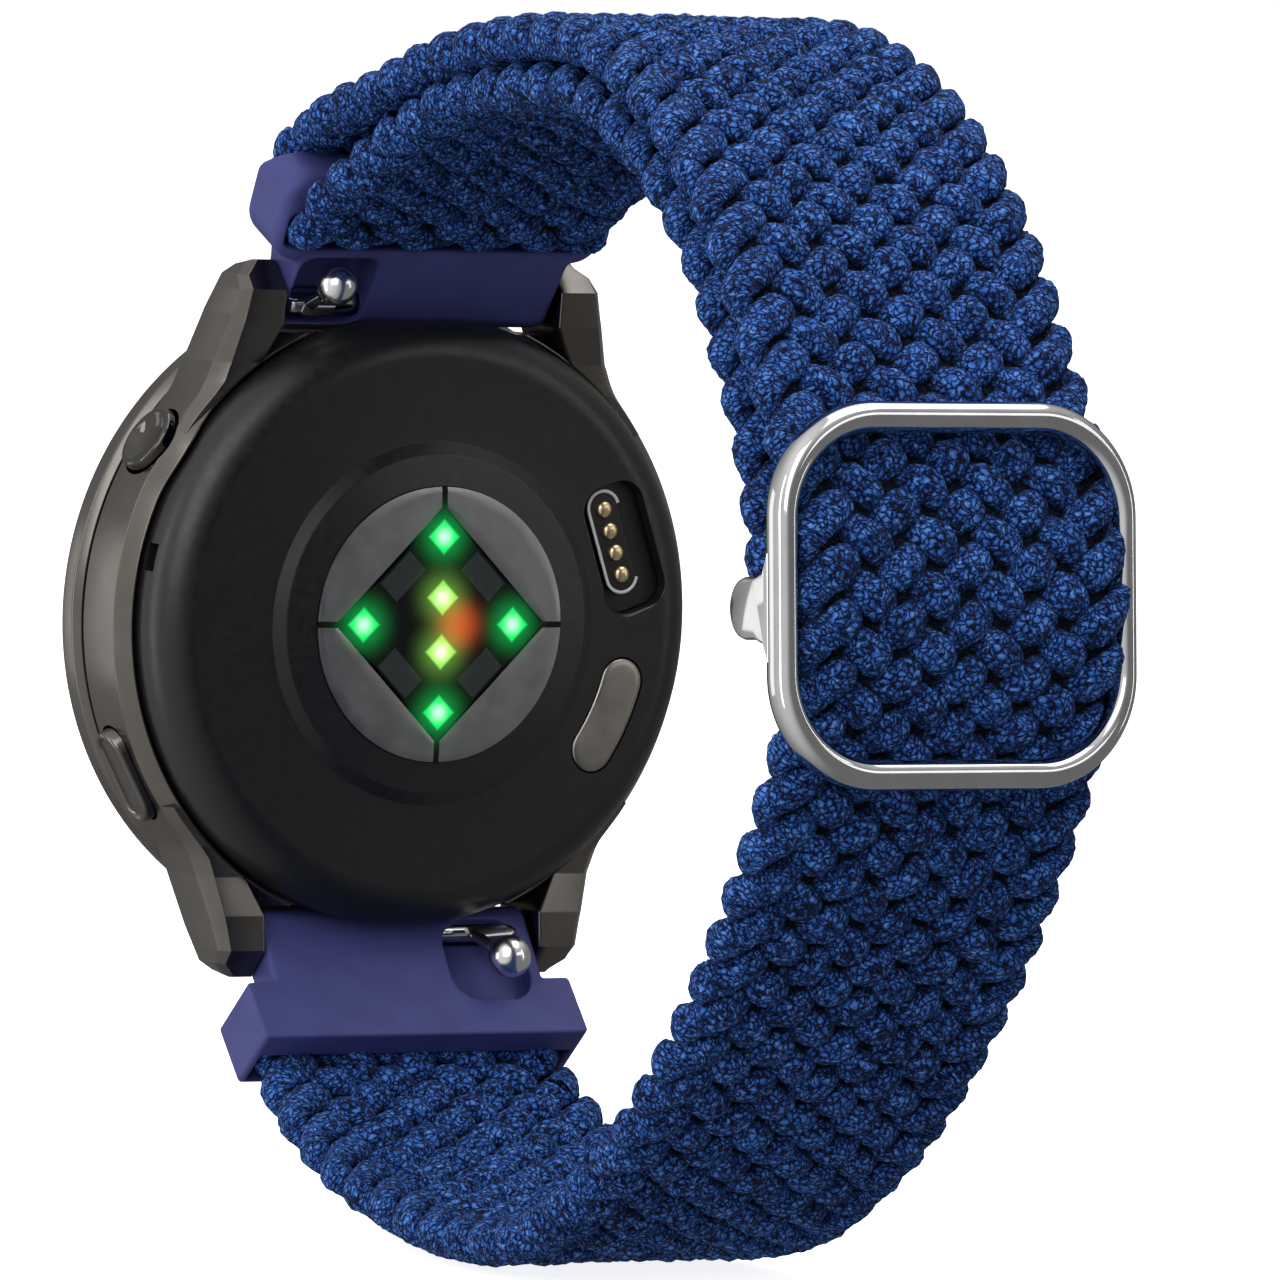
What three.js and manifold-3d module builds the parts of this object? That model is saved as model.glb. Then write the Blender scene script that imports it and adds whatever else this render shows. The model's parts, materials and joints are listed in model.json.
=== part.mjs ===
// Round fitness watch with a braided elastic band on a sliding buckle.
// Millimetres. X runs across the band, +Z is twelve o'clock, the glass faces +Y and the sensor faces -Y.
// The origin is the middle of the flat sensor window that touches the wrist.
import * as THREE from 'three';
import { mergeVertices } from 'three/addons/utils/BufferGeometryUtils.js';
import Module from 'manifold-3d';

const wasm = await Module();
wasm.setup();

// ---- driving dimensions ----
const LUG_GAP = 10.05;         // half the room between a pair of lugs, which take a 20 mm band end
const CASE_R = 20.9;           // outer wall of the case frame
const BEZEL_R = 21.15;
const COVER_R = 19.7;          // rear cover
const COVER_RIM_Y = 4.9;
const COVER_FLAT_Z = 19.3;     // the cover is trimmed flat beside each adapter
const COVER_FILLET = 2.75;     // round shoulder of the cover
const SENSOR_R = 8.85;         // sensor lens and its electrodes
const ELECTRODE_T = 0.35;
const FRAME_Y = [4.5, 10.0];   // rear and front faces of the case frame
const BEZEL_Y = [10.3, 12.8];
const INNER_R = 17.6;          // room inside the case
const LUG_FLAT_Z = 18.4;       // the case is cut flat between its lugs
const BAR_Y = 6.4;             // spring bar axis
const BAR_Z = 20.4;
const BAR_TUBE_R = 0.78;
const BAR_TIP_R = 0.42;
const TONGUE_R = 1.6;          // half thickness of the adapter tongue round the bar
const STRAP_HALF = 11.3;       // half width of the band
const STRAP_T = 2.8;           // band thickness
const LAYER_STEP = 3.0;        // middle of the outer layer to middle of the inner layer
const ARC_Y = -30.9;           // the band runs on a round arc about this axis under the buckle
const ARC_Z = 3.7;
const ARC_R = 31.0;            // arc radius at the middle of the outer layer
const BUCKLE_TILT = 4.8;       // degrees from straight back to the middle of the buckle
const BUCKLE_W = 25.2;
const BUCKLE_H = 23.4;
const SPRING_TURNS = 6;
const SEGMENTS = 60;           // round the large turned pieces
const CORNER_SEGMENTS = 5;     // round a corner of an outline

// ---- colours: colour, roughness, metalness ----
const FINISH = {
  gunmetal: [0x6f6862, 0.35, 1],
  darkChrome: [0x2b2927, 0.12, 1],
  steel: [0xc9c9cc, 0.12, 1],
  silver: [0xa7aeb0, 0.3, 1],
  gold: [0xd8b45c, 0.25, 1],
  cover: [0x1b1b1b, 0.55, 0],
  adapter: [0x35335c, 0.5, 0],
  braid: [0x123a78, 0.9, 0],
  rubber: [0x151515, 0.8, 0],
  glass: [0x0c0f10, 0.05, 0],
  board: [0x14532d, 0.6, 0],
  diode: [0x50565a, 0.4, 0],
  green: [0x19ff6a, 0.4, 0],
  yellow: [0xb7ff3c, 0.4, 0],
  red: [0xff4a20, 0.4, 0],
};

function finish(name) {
  const [color, roughness, metalness] = FINISH[name];
  return new THREE.MeshStandardMaterial({ color, roughness, metalness });
}

// ---- solids ----
const rad = THREE.MathUtils.degToRad;

function volume(geometry) {
  const p = geometry.attributes.position;
  const index = geometry.index.array;
  const corners = [new THREE.Vector3(), new THREE.Vector3(), new THREE.Vector3()];
  let sum = 0;
  for (let i = 0; i < index.length; i += 3) {
    corners.forEach((corner, k) => corner.fromBufferAttribute(p, index[i + k]));
    sum += corners[0].dot(corners[1].clone().cross(corners[2]));
  }
  return sum;
}

// One closed body with shared vertices and its faces pointing out.
function closed(source) {
  const bare = source.clone();
  bare.deleteAttribute('normal');
  bare.deleteAttribute('uv');
  const geometry = mergeVertices(bare, 1e-4);
  const kept = [];
  const index = geometry.index.array;
  for (let i = 0; i < index.length; i += 3) {
    const [a, b, c] = index.slice(i, i + 3);
    if (a !== b && b !== c && a !== c) kept.push(a, b, c);
  }
  geometry.setIndex(kept);
  if (volume(geometry) < 0) {
    for (let i = 0; i < kept.length; i += 3) [kept[i], kept[i + 1]] = [kept[i + 1], kept[i]];
    geometry.setIndex(kept);
  }
  return geometry;
}

function solid(source) {
  const geometry = closed(source);
  return new wasm.Manifold(new wasm.Mesh({
    numProp: 3,
    vertProperties: new Float32Array(geometry.attributes.position.array),
    triVerts: new Uint32Array(geometry.index.array),
  }));
}

function geometryOf(body) {
  const mesh = body.getMesh();
  const geometry = new THREE.BufferGeometry();
  geometry.setAttribute('position', new THREE.BufferAttribute(mesh.vertProperties, 3));
  geometry.setIndex(new THREE.BufferAttribute(mesh.triVerts, 1));
  return geometry;
}

function joined(...pieces) {
  return geometryOf(pieces.map(solid).reduce((a, b) => a.add(b)));
}

function cut(base, ...tools) {
  return geometryOf(tools.map(solid).reduce((body, tool) => body.subtract(tool), solid(base)));
}

function common(a, b) {
  return geometryOf(solid(a).intersect(solid(b)));
}

// ---- simple shapes ----
// A closed outline of [radius, y] turned about the Y axis.
function turned(outline, segments = SEGMENTS) {
  const loop = [...outline, outline[0]].map(([r, y]) => new THREE.Vector2(r, y));
  return new THREE.LatheGeometry(loop, segments);
}

function disc(radius, y0, y1, segments = SEGMENTS) {
  return new THREE.CylinderGeometry(radius, radius, y1 - y0, segments).translate(0, (y0 + y1) / 2, 0);
}

function ring(inner, outer, y0, y1, segments = SEGMENTS) {
  return turned([[inner, y0], [outer, y0], [outer, y1], [inner, y1]], segments);
}

function box(x0, x1, y0, y1, z0, z1) {
  return new THREE.BoxGeometry(x1 - x0, y1 - y0, z1 - z0)
    .translate((x0 + x1) / 2, (y0 + y1) / 2, (z0 + z1) / 2);
}

function rodX(radius, x0, x1, y = 0, z = 0, segments = 16) {
  return new THREE.CylinderGeometry(radius, radius, x1 - x0, segments)
    .rotateZ(Math.PI / 2).translate((x0 + x1) / 2, y, z);
}

// An outline drawn on the back plane (x, z), standing from y0 to y1.
function plate(shape, y0, y1, curveSegments = CORNER_SEGMENTS) {
  return new THREE.ExtrudeGeometry(shape, { depth: y1 - y0, bevelEnabled: false, curveSegments })
    .rotateX(Math.PI / 2).translate(0, y1, 0);
}

// A side outline (y, z) standing from x0 to x1.
function sideways(shape, x0, x1, curveSegments = CORNER_SEGMENTS) {
  const turn = new THREE.Matrix4().set(0, 0, 1, x0, 1, 0, 0, 0, 0, 1, 0, 0, 0, 0, 0, 1);
  return new THREE.ExtrudeGeometry(shape, { depth: x1 - x0, bevelEnabled: false, curveSegments })
    .applyMatrix4(turn);
}

function outline(points) {
  return new THREE.Shape(points.map(([a, b]) => new THREE.Vector2(a, b)));
}

function roundedRect(width, height, radius) {
  const [w, h, r] = [width / 2, height / 2, radius];
  const shape = new THREE.Shape();
  shape.moveTo(-w + r, -h);
  shape.lineTo(w - r, -h);
  shape.absarc(w - r, -h + r, r, -Math.PI / 2, 0);
  shape.lineTo(w, h - r);
  shape.absarc(w - r, h - r, r, 0, Math.PI / 2);
  shape.lineTo(-w + r, h);
  shape.absarc(-w + r, h - r, r, Math.PI / 2, Math.PI);
  shape.lineTo(-w, -h + r);
  shape.absarc(-w + r, -h + r, r, Math.PI, 1.5 * Math.PI);
  return shape;
}

function bentSlot(radius, halfWidth, from, to) {
  const [a, b] = [rad(from), rad(to)];
  const shape = new THREE.Shape();
  shape.absarc(0, 0, radius + halfWidth, a, b, false);
  shape.absarc(radius * Math.cos(b), radius * Math.sin(b), halfWidth, b, b + Math.PI, false);
  shape.absarc(0, 0, radius - halfWidth, b, a, true);
  shape.absarc(radius * Math.cos(a), radius * Math.sin(a), halfWidth, a + Math.PI, a + 2 * Math.PI, false);
  return shape;
}

const model = new THREE.Group();

function piece(group, name, geometry, finishName) {
  const mesh = new THREE.Mesh(closed(geometry), finish(finishName));
  mesh.name = name;
  group.add(mesh);
  return mesh;
}

function group(parent, place = {}) {
  const child = new THREE.Group();
  child.position.set(...(place.at ?? [0, 0, 0]));
  child.rotation.set(...(place.turn ?? [0, 0, 0]).map(rad));
  parent.add(child);
  return child;
}

// ---- buttons: outward direction is local +X of a group turned about the watch axis ----
const UPPER = { angle: 32.7, y: 7.4, boss: 3.1 };
const LOWER = { angle: -29.1, y: 7.9 };
const BUTTON = { top: 21.6, floor: 19.3, back: 19.9, stemR: 0.7, boreR: 0.9, inner: 16.9, sealR: 1.35 };

const turnToButton = (button) => rad(180 + button.angle);

function buttonOutline(name, clearance) {
  if (name === 'upper') return roundedRect(4.5 + 2 * clearance, 4.5 + 2 * clearance, 2.249 + clearance);
  return roundedRect(3 + 2 * clearance, 6.6 + 2 * clearance, 1.45 + clearance);
}

function buttonCuts(name, button) {
  const pocket = sideways(buttonOutline(name, 0.15), BUTTON.floor, 25);
  const bore = rodX(BUTTON.boreR, 15, 20);
  const counterbore = rodX(BUTTON.sealR, 15, 18.6);
  return [pocket, bore, counterbore].map((tool) =>
    tool.translate(0, button.y, 0).rotateY(turnToButton(button)));
}

// ---- case ----
// A lug's side outline [y, z] and plan outline [x, z].
const LUG_SIDE = [[4.6, 13.5], [4.4, 16.5], [3.9, 19], [3.7, 21.2], [5.5, 23.1], [7.5, 22.7], [9, 19.8],
  [10, 16], [10, 13.5]];
const LUG_PLAN = [[LUG_GAP, 13.5], [15.4, 13.5], [14.4, 16.4], [13.5, 19.6], [12.9, 22.1], [11.3, 23.3],
  [LUG_GAP, 23.3]];
const LUG_ROOT_R = 20.2;       // the lugs start inside the wall at this radius
const TIP_HOLE_R = 0.6;

function lug(sideX, sideZ) {
  const body = common(sideways(outline(LUG_SIDE), 9, 17), plate(outline(LUG_PLAN), 0, 12));
  const tipHole = rodX(TIP_HOLE_R, 9, 11.6, BAR_Y, BAR_Z, 12);
  return cut(body, tipHole).scale(sideX, 1, sideZ);
}

function caseFrame() {
  const [back, front] = FRAME_Y;
  const wall = turned([
    [INNER_R, 5.2], [19.95, 5.2], [19.95, back], [20.1, back], [CASE_R, 5.5], [CASE_R, 9.6], [20.5, front],
    [INNER_R, front],
  ]);
  const lugRoom = (side) => box(-LUG_GAP, LUG_GAP, 3, 12, LUG_FLAT_Z, 25).scale(1, 1, side);
  const boss = common(
    rodX(UPPER.boss, 19.3, 20.75, UPPER.y, 0, 24).rotateY(turnToButton(UPPER)),
    ring(20.0, 20.75, 4.0, 9.6),
  );
  const signs = [[1, 1], [1, -1], [-1, 1], [-1, -1]];
  const lugs = signs.map(([sx, sz]) => cut(lug(sx, sz), disc(LUG_ROOT_R, 0, 12)));
  const body = joined(cut(wall, lugRoom(1), lugRoom(-1)), boss, ...lugs);
  return cut(body, ...buttonCuts('upper', UPPER), ...buttonCuts('lower', LOWER));
}

// ---- sensor ----
const WINDOW = 7.4;            // half diagonal of the dark diamond window
// The charge port: its island sits nearer the middle than the recess round it.
const PORT = { r: 14.3, angle: 18, pitch: 1.48, y: 1.75, width: 4.4, height: 8.4, island: 0.5 };
const BEAN = { r: 14.6, half: 1.5, from: -34, to: -15, y: 1.25 };
const VENT_ANGLE = 12;
const portTurn = rad(-PORT.angle);

function diamond(half) {
  return outline([[half, 0], [0, half], [-half, 0], [0, -half]]);
}

function cross(halfWidth) {
  const arm = box(-SENSOR_R, SENSOR_R, -1, 1, -halfWidth, halfWidth);
  return [arm, arm.clone().rotateY(Math.PI / 2)];
}

function sensorLens() {
  const pad = common(joined(plate(diamond(WINDOW), 0, 0.6), ...cross(0.13)), disc(SENSOR_R, 0, 0.6));
  return joined(disc(SENSOR_R, 0.4, 1.4), pad);
}

function electrode(quarter) {
  const sector = common(disc(SENSOR_R, 0, ELECTRODE_T), box(0, 10, -1, 1, 0, 10));
  return cut(sector, plate(diamond(WINDOW + 0.25), -1, 1), ...cross(0.25)).rotateY(quarter * Math.PI / 2);
}

function rearCover() {
  const shoulderR = COVER_R - COVER_FILLET;
  const shoulderY = 1.4;
  const outer = [[9, 0.5], [11.6, 1.0], [12.2, 1.12], [shoulderR, shoulderY]];
  for (let k = 1; k <= CORNER_SEGMENTS; k += 1) {
    const a = (Math.PI / 2) * k / CORNER_SEGMENTS;
    outer.push([shoulderR + COVER_FILLET * Math.sin(a), shoulderY + COVER_FILLET * (1 - Math.cos(a))]);
  }
  const inner = [[COVER_R, COVER_RIM_Y], [18, COVER_RIM_Y], [18, 4.1], [16.6, 2.5], [9, 2.3]];
  const shell = turned([...outer, ...inner]);
  const flat = (side) => box(-10, 10, 0, 6, COVER_FLAT_Z, 24).scale(1, 1, side);
  const portHole = plate(roundedRect(PORT.width, PORT.height, 1.3), 0, 4)
    .translate(PORT.r + PORT.island, 0, 0).rotateY(portTurn);
  const bean = plate(bentSlot(BEAN.r, BEAN.half + 0.1, BEAN.from, BEAN.to), 0, BEAN.y + 0.7);
  const vent = box(18.8, 21, 3.3, 4.2, -0.9, 0.9).rotateY(rad(180 + VENT_ANGLE));
  const bossRoom = rodX(UPPER.boss + 0.25, 19.2, 22, UPPER.y, 0, 24).rotateY(turnToButton(UPPER));
  return cut(shell, flat(1), flat(-1), portHole, bean, vent, bossRoom);
}

const head = group(model);
piece(head, 'case_frame', caseFrame(), 'gunmetal');
piece(head, 'bezel_ring', turned([
  [18.2, BEZEL_Y[0]], [CASE_R, BEZEL_Y[0]], [BEZEL_R, 10.6], [BEZEL_R, 12.1], [20.6, BEZEL_Y[1]],
  [19.2, 12.9], [19.2, 11.3], [18.2, 11.3]]), 'gunmetal');
piece(head, 'bezel_gasket', ring(18.4, 20.2, 10.05, 10.25, 48), 'rubber');
piece(head, 'cover_glass',
  turned([[0, 11.55], [18.95, 11.55], [18.95, 12.8], [18.5, 13.1], [0, 13.1]]), 'glass');
piece(head, 'display_module', disc(17.9, 10.35, 11.3, 48), 'glass');
piece(head, 'main_board', joined(disc(16.2, 8.6, 9.4, 40), box(-5, 9, 7.7, 8.7, -7, 7)), 'board');
piece(head, 'battery', plate(roundedRect(19, 25, 4), 3.3, 7.4).translate(3.4, 0, 0), 'silver');
piece(head, 'speaker', box(-13, -7.2, 3.4, 6.6, -10.6, -5.4), 'diode');
piece(head, 'rear_cover', rearCover(), 'cover');
piece(head, 'rear_gasket', ring(18.1, 19.1, 4.95, 5.15, 48), 'rubber');
piece(head, 'sensor_lens', sensorLens(), 'glass');
['right_top', 'left_top', 'left_bottom', 'right_bottom'].forEach((place, k) => {
  piece(head, `electrode_${place}`, electrode(4 - k + 3), 'silver');
});
const beanShape = bentSlot(BEAN.r, BEAN.half, BEAN.from, BEAN.to);
piece(head, 'skin_electrode', plate(beanShape, BEAN.y, BEAN.y + 0.6), 'silver');
piece(head, 'sensor_board', disc(8.2, 2.3, 2.9, 40), 'board');

const LEDS = [['top', 0, 5.65, 'green'], ['bottom', 0, -5.65, 'green'], ['left', -5.65, 0, 'green'],
  ['right', 5.2, 0, 'green'], ['upper_middle', 0, 1.75, 'yellow'], ['lower_middle', 0, -1.75, 'yellow'],
  ['red', 1.2, 0, 'red']];
const LED_Y = [1.6, 2.2];
for (const [place, x, z, colour] of LEDS) {
  const half = place === 'red' ? 0.35 : 0.8;
  piece(head, `led_${place}`, plate(diamond(half), ...LED_Y).translate(x, 0, z), colour);
}
[[1, 1], [-1, 1], [-1, -1], [1, -1]].forEach(([sx, sz], k) => {
  const chip = box(-1.5, 1.5, ...LED_Y, -0.95, 0.95).rotateY(rad(45) * sx * sz);
  piece(head, `photodiode_${k + 1}`, chip.translate(2.9 * sx, 0, 3.1 * sz), 'diode');
});

const pinAt = (k) => (k - 1.5) * PORT.pitch;
const pinHoles = [0, 1, 2, 3].map((k) =>
  disc(0.5, 1, 2.6, 12).translate(PORT.r - PORT.island, 0, pinAt(k)).rotateY(portTurn));
const portFloor = plate(roundedRect(PORT.width - 0.2, PORT.height - 0.2, 1.2), 2.35, 3.1)
  .translate(PORT.r + PORT.island, 0, 0).rotateY(portTurn);
const portIsland = plate(roundedRect(2.3, 6.9, 1.14), PORT.y, 2.6)
  .translate(PORT.r - PORT.island, 0, 0).rotateY(portTurn);
piece(head, 'charge_port_housing', cut(joined(portFloor, portIsland), ...pinHoles), 'cover');
for (let k = 0; k < 4; k += 1) {
  const pin = turned([[0, 1.5], [0.25, 1.5], [0.4, 1.65], [0.4, 2.5], [0, 2.5]], 12);
  pin.translate(PORT.r - PORT.island, 0, pinAt(k)).rotateY(portTurn);
  piece(head, `charge_contact_${k + 1}`, pin, 'gold');
}

// ---- vibration motor ----
const motor = group(head, { at: [-10.6, 5, 1.5] });
piece(motor, 'vibration_motor_can', cut(disc(3.6, -1.5, 1.5, 28), disc(3.2, -2, 1.2, 28)), 'steel');
const weight = cut(disc(2.9, -1.3, 0.9, 28), box(-0.6, 4, -2, 2, -4, 4));
piece(motor, 'vibration_motor_weight', joined(weight, disc(0.7, -1.3, 0.9, 16)), 'steel');

// ---- buttons ----
for (const [name, button] of [['upper', UPPER], ['lower', LOWER]]) {
  const at = group(head, { at: [0, button.y, 0], turn: [0, 180 + button.angle, 0] });
  const cap = sideways(buttonOutline(name, 0), BUTTON.back, BUTTON.top - 0.25);
  const crown = sideways(buttonOutline(name, -0.3), BUTTON.top - 0.3, BUTTON.top);
  const stem = rodX(BUTTON.stemR, BUTTON.inner, BUTTON.back + 0.2);
  piece(at, `${name}_button`, joined(cap, crown, stem), name === 'upper' ? 'darkChrome' : 'gunmetal');
  piece(at, `${name}_button_seal`, cut(rodX(1.3, 17.9, 18.4), rodX(0.78, 17, 19)), 'rubber');
  piece(at, `${name}_button_switch`, box(14.6, 16.3, -0.9, 0.6, -1.6, 1.6), 'silver');
}

// ---- adapters ----
// Local frame of an end: origin on the spring bar, +Z along the band, +Y through the thickness away from the
// wrist, -X the side of the release lever.
const TOP_END = { tilt: 25, start: 3.9, face: -2.5, length: 6.5, thick: 5, half: 12, corner: 2 };
const BOTTOM_END = { tilt: 42, start: 4.4, face: -0.9, length: 4.4, thick: 5, half: 11.8, corner: 0.3 };
const LEVER = { x: -7.1, o: -3.0, t: 2.7, knob: 1.3, travel: 1.6 };

function endProfile(end, withBlock) {
  const top = end.face + end.thick;
  const shape = new THREE.Shape();
  shape.moveTo(-TONGUE_R, 0);
  shape.absarc(0, 0, TONGUE_R, Math.PI, 2 * Math.PI, false);
  shape.lineTo(Math.min(top, TONGUE_R), end.start * 0.6);
  shape.lineTo(top, end.start + 0.4);
  if (withBlock) {
    shape.lineTo(top, end.start + end.length);
    shape.lineTo(end.face, end.start + end.length);
  }
  shape.lineTo(end.face, end.start);
  return shape;
}

function adapter(end) {
  const tongue = sideways(endProfile(end, false), -9.85, 9.85);
  const top = end.face + end.thick;
  const block = plate(roundedRect(2 * end.half, end.length, end.corner), end.face, top)
    .translate(0, 0, end.start + end.length / 2);
  const bore = rodX(0.95, -10, 10);
  const right = LEVER.x + LEVER.knob + LEVER.travel + 0.3;
  const window = box(LEVER.x - LEVER.knob - 0.8, right, -6, 0.6, -1, 4.2);
  return cut(joined(tongue, block), bore, window);
}

function springBar(place, at) {
  const slot = box(-9.2, -4.6, -2, 0, -0.35, 0.35);
  const tube = cut(rodX(BAR_TUBE_R, -8.9, 8.9), rodX(0.5, -9, 9, 0, 0, 12), slot);
  piece(at, `${place}_bar_tube`, tube, 'steel');
  const fixedEnd = joined(rodX(0.45, 5, 9.1, 0, 0, 12), rodX(BAR_TIP_R, 9, 11.2, 0, 0, 12));
  piece(at, `${place}_bar_fixed_tip`, fixedEnd, 'steel');
  const arm = new THREE.CatmullRomCurve3([
    new THREE.Vector3(-7.6, 0, 0), new THREE.Vector3(-7.5, -1.2, 0.1),
    new THREE.Vector3(LEVER.x, LEVER.o, LEVER.t)]);
  const armBody = new THREE.ExtrudeGeometry(outline(Array.from({ length: 8 }, (_, k) =>
    [0.27 * Math.cos(k * Math.PI / 4), 0.27 * Math.sin(k * Math.PI / 4)])), { steps: 6, extrudePath: arm });
  const knob = new THREE.SphereGeometry(LEVER.knob, 14, 10).translate(LEVER.x, LEVER.o, LEVER.t);
  piece(at, `${place}_release_lever`, joined(rodX(BAR_TIP_R, -11.2, -5, 0, 0, 12), armBody, knob), 'steel');
  class Coil extends THREE.Curve {
    getPoint(s, target = new THREE.Vector3()) {
      const turn = 2 * Math.PI * SPRING_TURNS * s;
      return target.set(-3.1 + 7.9 * s, 0.33 * Math.cos(turn), 0.33 * Math.sin(turn));
    }
  }
  const wire = outline([[0.08, 0.08], [-0.08, 0.08], [-0.08, -0.08], [0.08, -0.08]]);
  piece(at, `${place}_bar_spring`, new THREE.ExtrudeGeometry(wire,
    { steps: SPRING_TURNS * 6, extrudePath: new Coil() }), 'steel');
}

// A band section of the given width and thickness swept along points [y, z], with ends square to the path.
function strap(points, halfWidth, thickness, steps) {
  const route = points.map(([y, z]) => new THREE.Vector3(0, y, z));
  const curve = new THREE.CatmullRomCurve3(route, false, 'centripetal');
  const [w, t] = [halfWidth, thickness / 2];
  const side = [[-w, 0], [-w + 0.4 * t, -0.75 * t], [-w + t, -t], [w - t, -t], [w - 0.4 * t, -0.75 * t],
    [w, 0], [w - 0.4 * t, 0.75 * t], [w - t, t], [-w + t, t], [-w + 0.4 * t, 0.75 * t]];
  const positions = [];
  const index = [];
  for (let k = 0; k <= steps; k += 1) {
    const p = curve.getPointAt(k / steps);
    const d = curve.getTangentAt(k / steps);
    for (const [x, h] of side) positions.push(x, p.y + d.z * h, p.z - d.y * h);
  }
  const n = side.length;
  for (let k = 0; k < steps; k += 1) {
    for (let j = 0; j < n; j += 1) {
      const [a, b] = [k * n + j, k * n + (j + 1) % n];
      index.push(a, b, b + n, a, b + n, a + n);
    }
  }
  for (let j = 1; j < n - 1; j += 1) {
    index.push(0, j + 1, j, steps * n, steps * n + j, steps * n + j + 1);
  }
  const geometry = new THREE.BufferGeometry();
  geometry.setAttribute('position', new THREE.Float32BufferAttribute(positions, 3));
  geometry.setIndex(index);
  return geometry;
}

// ---- top end: slotted adapter, the band turns round its end bar ----
const top = group(model, { at: [0, BAR_Y, BAR_Z], turn: [TOP_END.tilt, 0, 0] });
const BAND_SLOT = { half: 11.2, from: 4.6, to: 7 };
const bandSlot = box(-BAND_SLOT.half, BAND_SLOT.half, -8, 8, BAND_SLOT.from, BAND_SLOT.to);
// The end bar's far outer edge is slanted, so that the band can bend over it.
const slant = sideways(outline([[2.6, 8.08], [2.6, 10.6], [0.42, 10.6]]), -13, 13);
piece(top, 'top_adapter', cut(adapter(TOP_END), bandSlot, slant), 'adapter');
springBar('top', top);

// [thickness, length] places of the band through the slot and round the end bar, from the inner layer to the
// outer layer. It stops short of both, so that the adapter can swing.
const loopPath = [[-4.7, 8.9], [-4.2, 7.6], [-3.3, 6.3], [-1.8, 5.8], [1.8, 5.8], [3.3, 6.4], [3.75, 7.5],
  [3.2, 8.9], [2.2, 10.3], [1.2, 11.2]];
piece(top, 'strap_adapter_loop', strap(loopPath, 10.7, 1.8, 24), 'braid');

// ---- bottom end: solid adapter, the band's end is sewn into its pocket ----
const bottom = group(model, { at: [0, BAR_Y, -BAR_Z], turn: [-BOTTOM_END.tilt, 180, 0] });
const SEWN = { o: BOTTOM_END.face + 3.2, t0: BOTTOM_END.start + 1.2 };
SEWN.t1 = BOTTOM_END.start + BOTTOM_END.length + 0.6;
const pocket = box(-11.1, 11.1, SEWN.o - 1.6, SEWN.o + 1.6, SEWN.t0 - 0.2, 30);
piece(bottom, 'bottom_adapter', cut(adapter(BOTTOM_END), pocket), 'adapter');
springBar('bottom', bottom);
piece(bottom, 'strap_sewn_end', strap([[SEWN.o, SEWN.t0], [SEWN.o, SEWN.t1]], 10.9, STRAP_T, 2), 'braid');

// ---- band ----
// Places on the round arc under the buckle: angle in degrees above straight back, and distance from the axis.
function onArc(angle, radius = ARC_R) {
  return [ARC_Y - radius * Math.cos(rad(angle)), ARC_Z + radius * Math.sin(rad(angle))];
}
function inEnd(end, o, t, side = 1) {
  const a = rad(end.tilt);
  return [BAR_Y + o * Math.cos(a) - t * Math.sin(a), side * (BAR_Z + o * Math.sin(a) + t * Math.cos(a))];
}
const SLIDE = 5;               // degrees the buckle slides each way
const GAP = 1.2;               // degrees of room beyond the slide
const REACH = [-24, 25];       // degrees from the middle of the buckle to the ends of the band held in it
const upperEnd = BUCKLE_TILT + REACH[1] + SLIDE + GAP;
const lowerEnd = BUCKLE_TILT + REACH[0] - SLIDE - GAP;

// The same path moved towards the wrist, each point along the normal of its neighbours.
function inset(path, distance) {
  return path.map(([y, z], k) => {
    const [y0, z0] = path[Math.max(k - 1, 0)];
    const [y1, z1] = path[Math.min(k + 1, path.length - 1)];
    const size = Math.hypot(y1 - y0, z1 - z0);
    return [y - distance * (z1 - z0) / size, z + distance * (y1 - y0) / size];
  });
}

const overTop = [[-16.5, 37], [-27, 38.5], [-34.5, 38.2], [-42, 35.4], [-48.6, 30.9], [-53.2, 26.2],
  onArc(upperEnd)];
const outerPath = [inEnd(TOP_END, -0.1, 12.7), inEnd(TOP_END, -0.72, 13.4), [-3.5, 33.2], [-6.8, 34.1],
  ...overTop];
piece(model, 'strap_outer_layer', strap(outerPath, STRAP_HALF, STRAP_T, 22), 'braid');
const innerPath = [inEnd(TOP_END, -5.5, 10.45), [-5.8, 29.3], [-10.4, 31.6], ...inset(overTop, LAYER_STEP)];
innerPath[innerPath.length - 1] = onArc(upperEnd, ARC_R - LAYER_STEP);
piece(model, 'strap_inner_layer', strap(innerPath, STRAP_HALF, STRAP_T, 22), 'braid');

const lowerPath = [onArc(lowerEnd), [-55.9, -14.6], [-51.6, -20.6], [-46.2, -26.4], [-39.6, -31.6],
  [-32.6, -35.2], [-24.5, -36.7], [-15.5, -36], [-8.6, -34.4], [-3, -32.1], inEnd(BOTTOM_END, SEWN.o, SEWN.t1 + 0.8, -1)];
piece(model, 'strap_lower', strap(lowerPath, STRAP_HALF, STRAP_T, 22), 'braid');

// ---- buckle: local origin on the arc's axis, the band runs at -Y ----
const buckle = group(model, { at: [0, ARC_Y, ARC_Z], turn: [-BUCKLE_TILT, 0, 0] });
const RING = { back: 31.25, front: 33.75, side: 1.5, bar: 1.9, corner: 6 };
const EAR = { z: -0.7, half: 1.9, reach: 27.3, thick: 1.3 };
const CROSSBAR = { r: 0.7, at: 28.7, half: 12 };

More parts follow.
